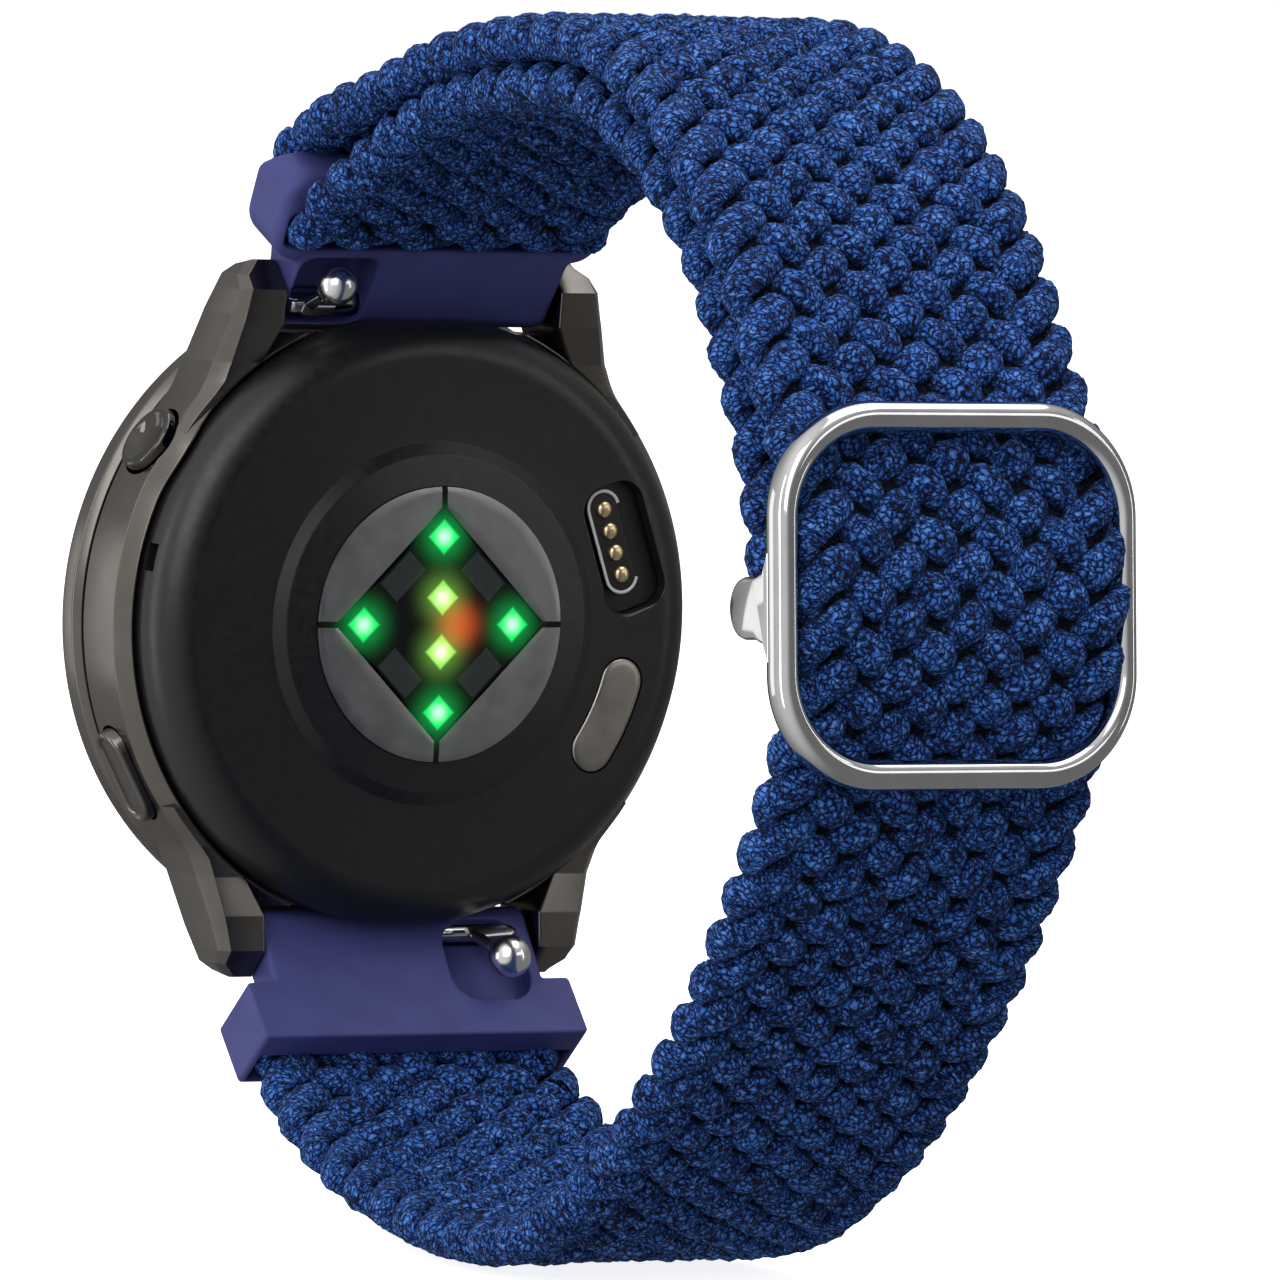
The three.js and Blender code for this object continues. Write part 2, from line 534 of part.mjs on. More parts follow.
function buckleFrame() {
  const face = roundedRect(BUCKLE_W, BUCKLE_H, RING.corner);
  face.holes.push(roundedRect(BUCKLE_W - 2 * RING.side, BUCKLE_H - 2 * RING.bar, RING.corner - RING.side));
  const body = plate(face, -RING.front, -RING.back);
  const ears = [-1, 1].map((side) => {
    const shape = new THREE.Shape();
    const tip = -EAR.reach - EAR.half;
    shape.moveTo(-RING.front + 1, EAR.z - EAR.half);
    shape.lineTo(tip, EAR.z - EAR.half);
    shape.absarc(tip, EAR.z, EAR.half, -Math.PI / 2, Math.PI / 2, false);
    shape.lineTo(-RING.front + 1, EAR.z + EAR.half);
    const x = side * (BUCKLE_W / 2 - EAR.thick / 2 - 0.05);
    return sideways(shape, x - EAR.thick / 2, x + EAR.thick / 2);
  });
  return cut(joined(body, ...ears), rodX(CROSSBAR.r + 0.1, -14, 14, -CROSSBAR.at, EAR.z));
}

piece(buckle, 'buckle_ring', buckleFrame(), 'steel');
piece(buckle, 'buckle_crossbar',
  rodX(CROSSBAR.r, -CROSSBAR.half, CROSSBAR.half, -CROSSBAR.at, EAR.z), 'steel');

function inBuckle(angle, radius) {
  return [-radius * Math.cos(rad(angle)), radius * Math.sin(rad(angle))];
}
const bulge = [[REACH[0], 31], [-15, 31], [-7, 31.3], [0, 31.45], [7, 31.3], [15, 31], [REACH[1], 31]];
piece(buckle, 'strap_in_buckle', strap(bulge.map(([a, r]) => inBuckle(a, r)), 10.9, STRAP_T, 20), 'braid');
const sleeve = [[-4.5, 28.6], [0, 28.6], [8, 28.3], [REACH[1], 28]].map(([a, r]) => inBuckle(a, r));
piece(buckle, 'strap_crossbar_loop', cut(strap(sleeve, 10.9, 2.6, 12),
  rodX(CROSSBAR.r + 0.15, -14, 14, -CROSSBAR.at, EAR.z)), 'braid');

export default model;
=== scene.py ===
# Round fitness watch with a braided elastic band on a sliding buckle: the looks.
# Sizes below are in millimetres, in the model's frame: X across the band, +Y out through the glass,
# +Z towards twelve o'clock. MM turns them into metres when a mesh is made.
import json
import math

import bmesh
import bpy
import numpy as np
from mathutils import Matrix, Vector


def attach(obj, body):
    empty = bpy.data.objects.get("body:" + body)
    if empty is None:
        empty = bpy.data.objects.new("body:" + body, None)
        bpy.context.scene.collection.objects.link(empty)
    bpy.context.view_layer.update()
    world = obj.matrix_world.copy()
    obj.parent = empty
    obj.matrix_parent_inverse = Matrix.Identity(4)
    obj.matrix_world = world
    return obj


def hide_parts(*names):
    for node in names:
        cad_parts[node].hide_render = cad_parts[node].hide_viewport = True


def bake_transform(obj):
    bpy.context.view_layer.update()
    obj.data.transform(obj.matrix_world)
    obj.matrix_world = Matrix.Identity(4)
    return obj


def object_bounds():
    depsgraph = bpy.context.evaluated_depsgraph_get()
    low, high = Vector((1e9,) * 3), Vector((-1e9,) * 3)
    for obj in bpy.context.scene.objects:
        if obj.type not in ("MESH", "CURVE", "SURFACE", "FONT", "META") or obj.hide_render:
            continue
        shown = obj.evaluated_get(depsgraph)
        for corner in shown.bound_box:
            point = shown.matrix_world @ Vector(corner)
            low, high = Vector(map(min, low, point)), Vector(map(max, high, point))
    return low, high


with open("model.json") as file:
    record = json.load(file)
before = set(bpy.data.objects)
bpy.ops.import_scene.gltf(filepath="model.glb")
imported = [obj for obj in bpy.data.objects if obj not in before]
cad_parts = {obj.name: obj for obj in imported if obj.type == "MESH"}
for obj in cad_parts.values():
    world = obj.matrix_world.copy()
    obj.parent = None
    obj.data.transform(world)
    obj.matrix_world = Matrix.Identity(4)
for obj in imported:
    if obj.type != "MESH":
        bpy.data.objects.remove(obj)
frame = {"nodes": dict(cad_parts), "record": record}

MM = 0.001
TURN = 2 * math.pi
QUARTER = math.pi / 2
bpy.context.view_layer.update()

# ---- driving dimensions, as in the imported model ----
CASE_R = 20.9
LUG_GAP = 10.05
LUG_FLAT_Z = 18.4
COVER_R = 19.7
COVER_FLAT_Z = 19.3
COVER_SHOULDER = 2.75
SENSOR_R = 8.85
WINDOW = 7.4
BAR_Y, BAR_Z = 6.4, 20.4
TOP_TILT, BOTTOM_TILT = 25, 42
ARC_Y, ARC_Z, ARC_R = -30.9, 3.7, 31.0
BUCKLE_TILT = 4.8
BUCKLE_W, BUCKLE_H = 25.2, 23.4
RING_BACK, RING_FRONT = 31.25, 33.75
UPPER_ANGLE, UPPER_Y = 32.7, 7.4
LOWER_ANGLE, LOWER_Y = -29.1, 7.9
PORT_R, PORT_ANGLE, PORT_ISLAND, PORT_SLIDE = 14.6, 19.1, 0.3, 0.6
BEAN_R, BEAN_FROM, BEAN_TO = 14.6, -34, -15
LEDS = {
    "green": [(0, 5.65), (0, -5.65), (-5.65, 0), (5.2, 0)],
    "yellow": [(0, 1.75), (0, -1.75)],
    "red": [(1.2, 0)],
}


# ---- mesh helpers ----
def unit(v):
    """The vector at length 1."""
    return v / max(np.linalg.norm(v), 1e-12)


def units(rows):
    """Each row at length 1."""
    return rows / np.linalg.norm(rows, axis=1)[:, None]


def arc(radius, start, end, count, centre=(0, 0)):
    """Points on a round stretch between two angles in radians."""
    t = np.linspace(start, end, count)
    return np.stack([centre[0] + radius * np.cos(t), centre[1] + radius * np.sin(t)], -1)


def squarish(count, power):
    """Cosines and sines round a circle, bent towards a square by a power under 1."""
    t = np.linspace(0, TURN, count, endpoint=False)
    return [np.sign(v) * np.abs(v) ** power for v in (np.cos(t), np.sin(t))]


def rounded(points, radius, closed=True, steps=4):
    """The polyline with an arc of the given radius at each corner."""
    pts = np.asarray(points, float)
    count = len(pts)
    radii = np.broadcast_to(np.asarray(radius, float), (count,))
    out = []
    for i, p in enumerate(pts):
        if radii[i] <= 0 or (not closed and i in (0, count - 1)):
            out.append(p)
            continue
        a, b = pts[i - 1] - p, pts[(i + 1) % count] - p
        u, v = unit(a), unit(b)
        half = math.acos(max(-1.0, min(1.0, float(u @ v)))) / 2
        if half > QUARTER - 0.01:
            out.append(p)
            continue
        reach = min(radii[i] / math.tan(half), 0.49 * np.linalg.norm(a), 0.49 * np.linalg.norm(b))
        centre = p + unit(u + v) * reach / math.cos(half)
        first, last = p + u * reach - centre, p + v * reach - centre
        turn = math.pi - 2 * half
        for k in range(steps + 1):
            t = k / steps
            arc = (math.sin((1 - t) * turn) * first + math.sin(t * turn) * last) / math.sin(turn)
            out.append(centre + arc)
    return np.array(out)


def evenly(points, step):
    """The polyline resampled at an even step, and each point's distance along it."""
    p = np.asarray(points, float)
    s = np.r_[0, np.cumsum(np.linalg.norm(np.diff(p, axis=0), axis=1))]
    at = np.linspace(0, s[-1], int(round(s[-1] / step)) + 1)
    return np.stack([np.interp(at, s, p[:, k]) for k in range(p.shape[1])], -1), at


def blurred(values, width):
    """Values smoothed along the polyline, its ends held."""
    k = np.exp(-0.5 * (np.arange(-3 * width, 3 * width + 1) / width) ** 2)
    v = np.asarray(values, float)
    pad = 3 * width
    ends = np.concatenate([2 * v[:1] - v[pad:0:-1], v, 2 * v[-1:] - v[-2:-pad - 2:-1]])
    return np.stack([np.convolve(ends[:, j], k / k.sum(), "valid") for j in range(v.shape[1])], -1)


def loft(rings, around=True, along=False, caps=True):
    """Vertices and faces of a skin through rings of points, shaped (rings, points, 3)."""
    rings = np.asarray(rings, float)
    n, m = rings.shape[:2]
    ids = np.arange(n * m).reshape(n, m)
    rows = ids if along else ids[:-1]
    nexts = np.roll(ids, -1, 0) if along else ids[1:]
    if around:
        a, b = rows, np.roll(rows, -1, 1)
        c, d = np.roll(nexts, -1, 1), nexts
    else:
        a, b, c, d = rows[:, :-1], rows[:, 1:], nexts[:, 1:], nexts[:, :-1]
    faces = np.stack([a, b, c, d], -1).reshape(-1, 4).tolist()
    if caps and around and not along:
        faces.append(ids[0][::-1].tolist())
        faces.append(ids[-1].tolist())
    return rings.reshape(-1, 3), faces


def lathe(profile, segments=192, closed=True):
    """A profile of [radius, y] turned about the Y axis."""
    p = np.asarray(profile, float)
    a = np.linspace(0, TURN, segments, endpoint=False)[:, None]
    rings = np.stack([p[None, :, 0] * np.cos(a), p[None, :, 1] + 0 * a, p[None, :, 0] * np.sin(a)], -1)
    return loft(rings, around=closed, along=True)


def merged(*parts):
    """Several (vertices, faces) in one."""
    verts, faces, base = [], [], 0
    for v, f in parts:
        verts.append(np.asarray(v, float))
        faces += [[i + base for i in face] for face in f]
        base += len(v)
    return np.concatenate(verts), faces


def moved(part, matrix):
    """A (vertices, faces) carried through a placement."""
    v, f = part
    m = np.array(matrix, float)
    return np.asarray(v) @ m[:3, :3].T + m[:3, 3], f


def make(name, part, smooth=30):
    """A mesh object from (vertices in mm, faces), its faces out, its sharp edges marked."""
    verts, faces = part
    mesh = bpy.data.meshes.new(name)
    mesh.from_pydata((np.asarray(verts) * MM).tolist(), [], faces)
    bm = bmesh.new()
    bm.from_mesh(mesh)
    bmesh.ops.remove_doubles(bm, verts=bm.verts, dist=2e-7)
    bmesh.ops.dissolve_degenerate(bm, edges=bm.edges, dist=1e-8)
    bmesh.ops.recalc_face_normals(bm, faces=bm.faces)
    bm.to_mesh(mesh)
    bm.free()
    shade(mesh, smooth)
    return placed(name, mesh)


def placed(name, data):
    """A new object in the scene that shows the data."""
    obj = bpy.data.objects.new(name, data)
    bpy.context.scene.collection.objects.link(obj)
    return obj


def shade(mesh, smooth=30):
    """Smooth shading, with edges sharp where faces meet at more than the angle."""
    mesh.shade_smooth()
    mesh.set_sharp_from_angle(angle=math.radians(smooth))


def applied(obj, smooth=30):
    """The object with its modifiers applied."""
    graph = bpy.context.evaluated_depsgraph_get()
    mesh = bpy.data.meshes.new_from_object(obj.evaluated_get(graph))
    obj.modifiers.clear()
    old, obj.data = obj.data, mesh
    bpy.data.meshes.remove(old)
    shade(mesh, smooth)
    return obj


def carve(obj, *tools, smooth=30):
    """Cuts each tool, a closed (vertices, faces), out of the object."""
    for tool in tools:
        cutter = make("cutter", tool)
        m = obj.modifiers.new("cut", "BOOLEAN")
        m.operation = "DIFFERENCE"
        m.solver = "EXACT"
        m.object = cutter
        applied(obj, smooth)
        bpy.data.objects.remove(cutter)


def finish_piece(obj, body, slot, nodes=(), finish=None):
    """Gives a piece its slot's finish or its own, its body, and the CAD nodes that it replaces."""
    obj.data.materials.clear()
    obj.data.materials.append(M[finish or slot])
    if body:
        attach(obj, body)
    if nodes:
        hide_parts(*nodes)


def rod(radius, a, b, sides=32, bevel=0.0):
    """A round bar from a to b with an optional chamfered end."""
    a, b = np.asarray(a, float), np.asarray(b, float)
    d = unit(b - a)
    side = unit(np.cross(d, [0.31, 0.22, 0.93]))
    other = np.cross(d, side)
    length = np.linalg.norm(b - a)
    stops = [(0, radius - bevel), (bevel, radius), (length - bevel, radius), (length, radius - bevel)]
    if not bevel:
        stops = [stops[0], stops[-1]]
    t = np.linspace(0, TURN, sides, endpoint=False)[:, None]
    return loft([a + d * s + r * (np.cos(t) * side + np.sin(t) * other) for s, r in stops])


def turned(profile, centre, axis, segments=48):
    """A profile of [radius, height] turned about an axis through a point."""
    verts, faces = lathe(profile, segments, closed=False)
    turn = Vector((0, 1, 0)).rotation_difference(Vector(axis)).to_matrix().to_4x4()
    return moved((verts, faces), Matrix.Translation(Vector(centre)) @ turn)


def stadium(width, length, steps=16):
    """A round-ended outline, its long way along the second axis."""
    r, h = width / 2, (length - width) / 2
    up = arc(r, 0, math.pi, steps, (0, h))
    return np.concatenate([up, -up])


def rounded_rect(width, height, radius, steps=16):
    """A rectangle about the origin with round corners."""
    w, h = width / 2, height / 2
    return rounded([(w, -h), (w, h), (-w, h), (-w, -h)], radius, steps=steps)


def bean(radius, half, start, end, steps=24):
    """A bent slot outline in the (x, z) plane round the watch axis."""
    a, b = math.radians(start), math.radians(end)
    first, last = [(radius * math.cos(t), radius * math.sin(t)) for t in (a, b)]
    sides = arc(radius + half, a, b, steps), arc(radius - half, b, a, steps)
    tips = arc(half, b, b + math.pi, 14, last), arc(half, a + math.pi, a + TURN, 14, first)
    return np.concatenate([sides[0], tips[0][1:-1], sides[1], tips[1][1:-1]])


def grown(outline, distance):
    """A closed outline pushed out along its own normals."""
    p = np.asarray(outline, float)
    d = np.roll(p, -1, 0) - np.roll(p, 1, 0)
    n = units(np.stack([d[:, 1], -d[:, 0]], -1))
    area = np.sum(p[:, 0] * np.roll(p[:, 1], -1) - p[:, 1] * np.roll(p[:, 0], -1))
    return p + n * distance * (1 if area > 0 else -1)


def slab(outline, layers, axis=1):
    """A plate on an (x, z) outline across Y, or a (y, z) one across X: layers of (place, growth)."""
    rings = []
    for place, growth in layers:
        p = grown(outline, growth) if growth else np.asarray(outline, float)
        rings.append(np.insert(p, axis, place, axis=1))
    return loft(rings)


def pill(outline, layers):
    """A solid on a (y, z) outline standing along X: layers of (x, growth)."""
    return slab(outline, layers, axis=0)


def about_y(angle, offset=(0, 0, 0)):
    """A turn about the watch axis that carries +X towards +Z by the angle, after a move."""
    return Matrix.Rotation(-math.radians(angle), 4, "Y") @ Matrix.Translation(Vector(offset))


# ---- materials ----
class Finish:
    """A Principled material with helpers for its procedural detail."""

    def __init__(self, name, colour, roughness, metallic=0.0, **sockets):
        self.mat = bpy.data.materials.new(name)
        self.mat.use_nodes = True
        self.tree = self.mat.node_tree
        self.bsdf = self.tree.nodes["Principled BSDF"]
        self.colour, self.roughness = colour, roughness
        self.bsdf.inputs["Base Color"].default_value = (*colour, 1)
        self.bsdf.inputs["Roughness"].default_value = roughness
        self.bsdf.inputs["Metallic"].default_value = metallic
        for key, value in sockets.items():
            self.bsdf.inputs[key.replace("_", " ")].default_value = value
        self.space = self.node("ShaderNodeTexCoord").outputs["Object"]
        self.normal = None

    def node(self, kind, **settings):
        n = self.tree.nodes.new(kind)
        for key, value in settings.items():
            setattr(n, key, value)
        return n

    def link(self, source, target):
        self.tree.links.new(source, target)

    def scaled(self, scale, source=None):
        """Coordinates times a scale: how many features there are to a metre, each way."""
        n = self.node("ShaderNodeMapping")
        n.inputs["Scale"].default_value = scale
        self.link(source or self.space, n.inputs["Vector"])
        return n.outputs["Vector"]

    def noise(self, size, detail=3.0, rough=0.55, stretch=(1, 1, 1), source=None, unit_scale=1 / MM,
              distortion=0.0):
        """Noise with features of about the given size in mm."""
        n = self.node("ShaderNodeTexNoise")
        n.inputs["Scale"].default_value = 1.0
        n.inputs["Detail"].default_value = detail
        n.inputs["Roughness"].default_value = rough
        n.inputs["Distortion"].default_value = distortion
        k = unit_scale / size
        self.link(self.scaled([k / s for s in stretch], source), n.inputs["Vector"])
        return n.outputs["Fac"]

    def math(self, operation, a, b=None):
        """A sum on numbers or sockets."""
        n = self.node("ShaderNodeMath", operation=operation)
        for socket, value in zip(n.inputs, (a, b)):
            if value is None:
                continue
            if isinstance(value, (int, float)):
                socket.default_value = value
            else:
                self.link(value, socket)
        return n.outputs[0]

    def vector(self, operation, *values):
        """A sum on vectors: sockets, three numbers, or for SCALE a socket last."""
        n = self.node("ShaderNodeVectorMath", operation=operation)
        sockets = [n.inputs[0], n.inputs["Scale"]] if operation == "SCALE" else n.inputs
        for socket, value in zip(sockets, values):
            if isinstance(value, tuple):
                socket.default_value = value
            else:
                self.link(value, socket)
        return n.outputs[0]

    def parts(self, source):
        """The X, Y and Z of a vector or colour socket."""
        n = self.node("ShaderNodeSeparateXYZ")
        self.link(source, n.inputs[0])
        return n.outputs

    def ramp(self, fac, *stops):
        """A colour ramp through (place, colour) stops."""
        n = self.node("ShaderNodeValToRGB")
        elements = n.color_ramp.elements
        while len(elements) < len(stops):
            elements.new(0.5)
        for element, (place, colour) in zip(elements, stops):
            element.position = place
            element.color = (*colour, 1)
        self.link(fac, n.inputs["Fac"])
        return n.outputs["Color"]

    def span(self, value, low, high, to_low, to_high, smooth=False):
        """A value's range from low to high carried onto another range, clamped."""
        n = self.node("ShaderNodeMapRange")
        n.interpolation_type = "SMOOTHSTEP" if smooth else "LINEAR"
        self.link(value, n.inputs["Value"])
        for key, number in (("From Min", low), ("From Max", high), ("To Min", to_low), ("To Max", to_high)):
            n.inputs[key].default_value = number
        return n.outputs["Result"]

    def mottle(self, size, amount, **noise):
        """Colour that wanders lighter and darker about the base colour."""
        low = [c * (1 - amount) for c in self.colour]
        high = [min(1, c * (1 + amount)) for c in self.colour]
        colour = self.ramp(self.noise(size, **noise), (0.3, low), (0.7, high))
        self.link(colour, self.bsdf.inputs["Base Color"])

    def uneven_gloss(self, size, amount, **noise):
        """Roughness that wanders about its base value."""
        fac = self.noise(size, **noise)
        low, high = max(0.02, self.roughness - amount), min(1, self.roughness + amount)
        self.link(self.span(fac, 0.3, 0.7, low, high), self.bsdf.inputs["Roughness"])

    def bump(self, height, depth, strength=1.0):
        """Relief of the given depth in mm, on top of the relief so far."""
        n = self.node("ShaderNodeBump")
        n.inputs["Distance"].default_value = depth * MM
        n.inputs["Strength"].default_value = strength
        self.link(height, n.inputs["Height"])
        if self.normal:
            self.link(self.normal, n.inputs["Normal"])
        self.normal = n.outputs["Normal"]
        self.link(self.normal, self.bsdf.inputs["Normal"])


def metal(name, colour, roughness, grain=0.25, relief=0.002):
    """Metal with fine unevenness in its colour, its gloss and its surface. Grain and relief are in mm."""
    f = Finish(name, colour, roughness, 1.0)
    f.mottle(3.0, 0.06)
    f.uneven_gloss(grain * 6, roughness * 0.18, detail=4.0)
    f.bump(f.noise(grain, detail=2.0), relief, 0.5)
    f.bump(f.noise(5.0, detail=1.0), relief * 2, 0.35)
    return f


def plastic(name, colour, roughness, grain, relief, **sockets):
    """A moulded surface with a fine grain of the given size and relief in mm."""
    f = Finish(name, colour, roughness, 0.0, **sockets)
    f.mottle(2.5, 0.10)
    f.uneven_gloss(grain * 5, 0.06, detail=4.0)
    f.bump(f.noise(grain, detail=3.0, rough=0.6), relief, 0.6)
    return f


PEBBLE = (0.22, 0.46, 0.46)    # the yarn's pebbles, along a strand and across it


def braid_finish():
    """Crimped yarn: small pebbles in rows, cracked apart. Its colour carries painted shade, darker in the
    cracks and the deeper a point lies in the braid, and a painted highlight on each pebble's dome.
    """
    f = Finish("braid", (0.02, 0.07, 0.22), 0.8, Sheen_Weight=0.06, Sheen_Roughness=0.4,
               Specular_IOR_Level=0.2)
    f.bsdf.inputs["Sheen Tint"].default_value = (0.45, 0.62, 1.0, 1)
    yarn = f.node("ShaderNodeAttribute", attribute_name="yarn").outputs["Vector"]
    wander = f.node("ShaderNodeTexNoise")
    wander.inputs["Scale"].default_value = 1.6
    wander.inputs["Detail"].default_value = 2.0
    f.link(yarn, wander.inputs["Vector"])
    bent = f.vector("MULTIPLY_ADD", wander.outputs["Color"], (0.7, 0.7, 0.7), yarn)
    place = f.scaled([1 / size for size in PEBBLE], bent)
    cells = []
    for feature in ("DISTANCE_TO_EDGE", "F1"):
        cell = f.node("ShaderNodeTexVoronoi", feature=feature)
        cell.inputs["Scale"].default_value = 1.0
        cell.inputs["Randomness"].default_value = 0.9
        f.link(place, cell.inputs["Vector"])
        cells.append(cell)
    body = f.span(cells[0].outputs["Distance"], 0.0, 0.18, 0.0, 1.0, True)
    dome = f.span(cells[1].outputs["Distance"], 0.05, 0.75, 1.0, 0.0, True)
    own = f.parts(cells[1].outputs["Color"])["X"]
    curls = f.noise(0.14, 2.0, 0.6, (0.9, 1.2, 1.2), yarn, 1.0, 0.4)
    wide = f.noise(1.9, 2.0, 0.5, (1, 1, 1), yarn, 1.0)
    shade_exposure = f.node("ShaderNodeAttribute", attribute_name="exposed").outputs["Fac"]
    # Painted shade in the cracks, where body falls to nothing, and a painted highlight on each pebble's dome;
    # each cell's own tone, the curls and a wide noise add tone that differs at random.
    tone_and_painted_light = f.math("MULTIPLY", body, f.math("ADD", f.math("MULTIPLY", dome, 0.32), 0.20))
    for part, weight in ((own, 0.30), (curls, 0.7), (wide, 0.25)):
        tone_and_painted_light = f.math("ADD", tone_and_painted_light, f.math("MULTIPLY", f.math("SUBTRACT", part, 0.5), weight))
    # The ramp runs from near black, painted shade in the cracks, to a pale blue that is a painted highlight.
    colour = f.ramp(tone_and_painted_light, (0.0, (0.0005, 0.002, 0.016)), (0.15, (0.006, 0.032, 0.160)),
                    (0.36, (0.022, 0.108, 0.430)), (0.60, (0.078, 0.220, 0.610)), (0.85, (0.25, 0.44, 0.80)))
    # Painted shade: the colour darkens to 0.07 of itself where the exposed value is low, deep inside the
    # braid.
    painted_shade_colour = f.vector("SCALE", colour, f.span(shade_exposure, 0.30, 0.95, 0.07, 1.0, True))
    f.link(painted_shade_colour, f.bsdf.inputs["Base Color"])
    height = f.math("ADD", f.math("MULTIPLY", f.math("ADD", body, dome), 0.4), f.math("MULTIPLY", curls, 0.4))
    f.bump(height, 0.20, 1.0)
    f.link(f.span(height, 0.3, 0.8, 0.95, 0.65), f.bsdf.inputs["Roughness"])
    return f


LED_COLOUR = {"green": (0.01, 0.92, 0.16), "yellow": (0.34, 0.86, 0.12), "red": (1.0, 0.16, 0.03)}
# How far a lamp's painted glow spreads over the surface round it, the soft red lamp's size, and the white
# heart of the others, in mm.
GLOW_SPREAD, RED_CORE, HEART = 3.2, 2.1, 0.85


def add_glow(f, colours, core, strength, halo):
    """Light from the diamond-shaped lamps under the window, as emission that fades with distance: the diamond
    cores stand for the lamps, and the fading halo round each is painted glow on the surface.
    """
    place = f.parts(f.space)
    glows, hearts = [], []
    for colour in colours:
        light = 0.0
        for x, z in LEDS[colour]:
            dx = f.math("ABSOLUTE", f.math("SUBTRACT", place["X"], x * MM))
            dz = f.math("ABSOLUTE", f.math("SUBTRACT", place["Z"], z * MM))
            reach = f.math("SQRT", f.math("ADD", f.math("MULTIPLY", dx, dx), f.math("MULTIPLY", dz, dz)))
            far = f.span(reach, 0.0, GLOW_SPREAD * MM, halo, 0.0, True)
            lamp = f.math("MULTIPLY", far, far)
            if core and colour == "red":
                lamp = f.math("ADD", lamp, f.span(reach, 0.0, RED_CORE * MM, 0.22, 0.0, True))
            elif core:
                square = f.math("ADD", dx, dz)
                inside = f.span(square, (core - 0.16) * MM, (core + 0.14) * MM, 1.0, 0.0, True)
                inside = f.math("MULTIPLY", inside, f.span(reach, 0.0, core * 0.8 * MM, 1.2, 0.8, True))
                lamp = f.math("ADD", lamp, inside)
                hearts.append(f.span(reach, 0.0, HEART * MM, 0.62, 0.0, True))
            light = f.math("ADD", light, lamp)
        glows.append(f.vector("SCALE", LED_COLOUR[colour], light))
    glows += [f.vector("SCALE", (1.0, 1.0, 1.0), heart) for heart in hearts]
    total = glows[0]
    for glow in glows[1:]:
        total = f.vector("ADD", total, glow)
    f.link(total, f.bsdf.inputs["Emission Color"])
    f.bsdf.inputs["Emission Strength"].default_value = strength


SENSOR_AT = (2.9, 3.1)         # how far each light sensor lies from the middle, along X and Z


def window_finish():
    """Dark glass with the lamps glowing through and a painted glow round each, and four grey light sensors
    behind it.
    """
    f = Finish("sensor_window", (0.004, 0.006, 0.005), 0.2, Coat_Weight=0.12, Coat_Roughness=0.05,
               Specular_IOR_Level=0.2)
    add_glow(f, LEDS, 1.12, 1.0, 0.62)
    place = f.parts(f.space)
    dx = f.math("SUBTRACT", f.math("ABSOLUTE", place["X"]), SENSOR_AT[0] * MM)
    dz = f.math("SUBTRACT", f.math("ABSOLUTE", place["Z"]), SENSOR_AT[1] * MM)
    chip = None
    for operation, half in (("SUBTRACT", 1.46), ("ADD", 0.84)):
        across = f.math("ABSOLUTE", f.math("MULTIPLY", f.math(operation, dx, dz), math.sqrt(0.5)))
        inside = f.span(across, (half - 0.04) * MM, (half + 0.04) * MM, 1.0, 0.0, True)
        chip = f.math("MULTIPLY", chip, inside) if chip else inside
    grain = f.noise(0.5, detail=2.0)
    shade_of = f.math("MULTIPLY", chip, f.span(grain, 0.3, 0.7, 0.8, 1.0))
    f.link(f.ramp(shade_of, (0.0, (0.003, 0.005, 0.004)), (1.0, (0.035, 0.042, 0.043))),
           f.bsdf.inputs["Base Color"])
    f.bump(f.noise(1.5, detail=2.0), 0.001, 0.3)
    return f


# Each finish by its slot or its own name. Colour and roughness, then grain and relief in mm.
METALS = {
    "gunmetal": ((0.150, 0.138, 0.126), 0.24, 0.6, 0.0005),
    "dark_chrome": ((0.085, 0.080, 0.075), 0.07, 0.25, 0.0004),
    "polished_steel": ((0.62, 0.62, 0.62), 0.09),
    # A lighter, rougher copy of the polished steel for the release levers: the lighter colour is painted
    # light, so the levers read lit where they lie in shadow.
    "lit_lever_steel": ((0.78, 0.78, 0.78), 0.2),
    "silver_electrode": ((0.30, 0.30, 0.297), 0.36),
    "skin_electrode": ((0.33, 0.31, 0.28), 0.36),
    "gold_contact": ((0.80, 0.64, 0.36), 0.3),
    "foil": ((0.55, 0.55, 0.56), 0.35),
}
PLASTICS = {
    "black_polymer": ((0.008, 0.008, 0.008), 0.36, 0.12, 0.004),
    "port_polymer": ((0.004, 0.004, 0.004), 0.45, 0.15, 0.004),
    "port_rim": ((0.62, 0.62, 0.62), 0.35, 0.2, 0.002),
    "adapter_plastic": ((0.055, 0.060, 0.205), 0.52, 0.10, 0.002),
    "rubber": ((0.015, 0.015, 0.015), 0.75, 0.15, 0.01),
    "display": ((0.004, 0.004, 0.005), 0.15, 0.3, 0.0005),
    "circuit_board": ((0.012, 0.10, 0.045), 0.4, 0.4, 0.01),
    "chip": ((0.09, 0.10, 0.10), 0.4, 0.2, 0.003),
}


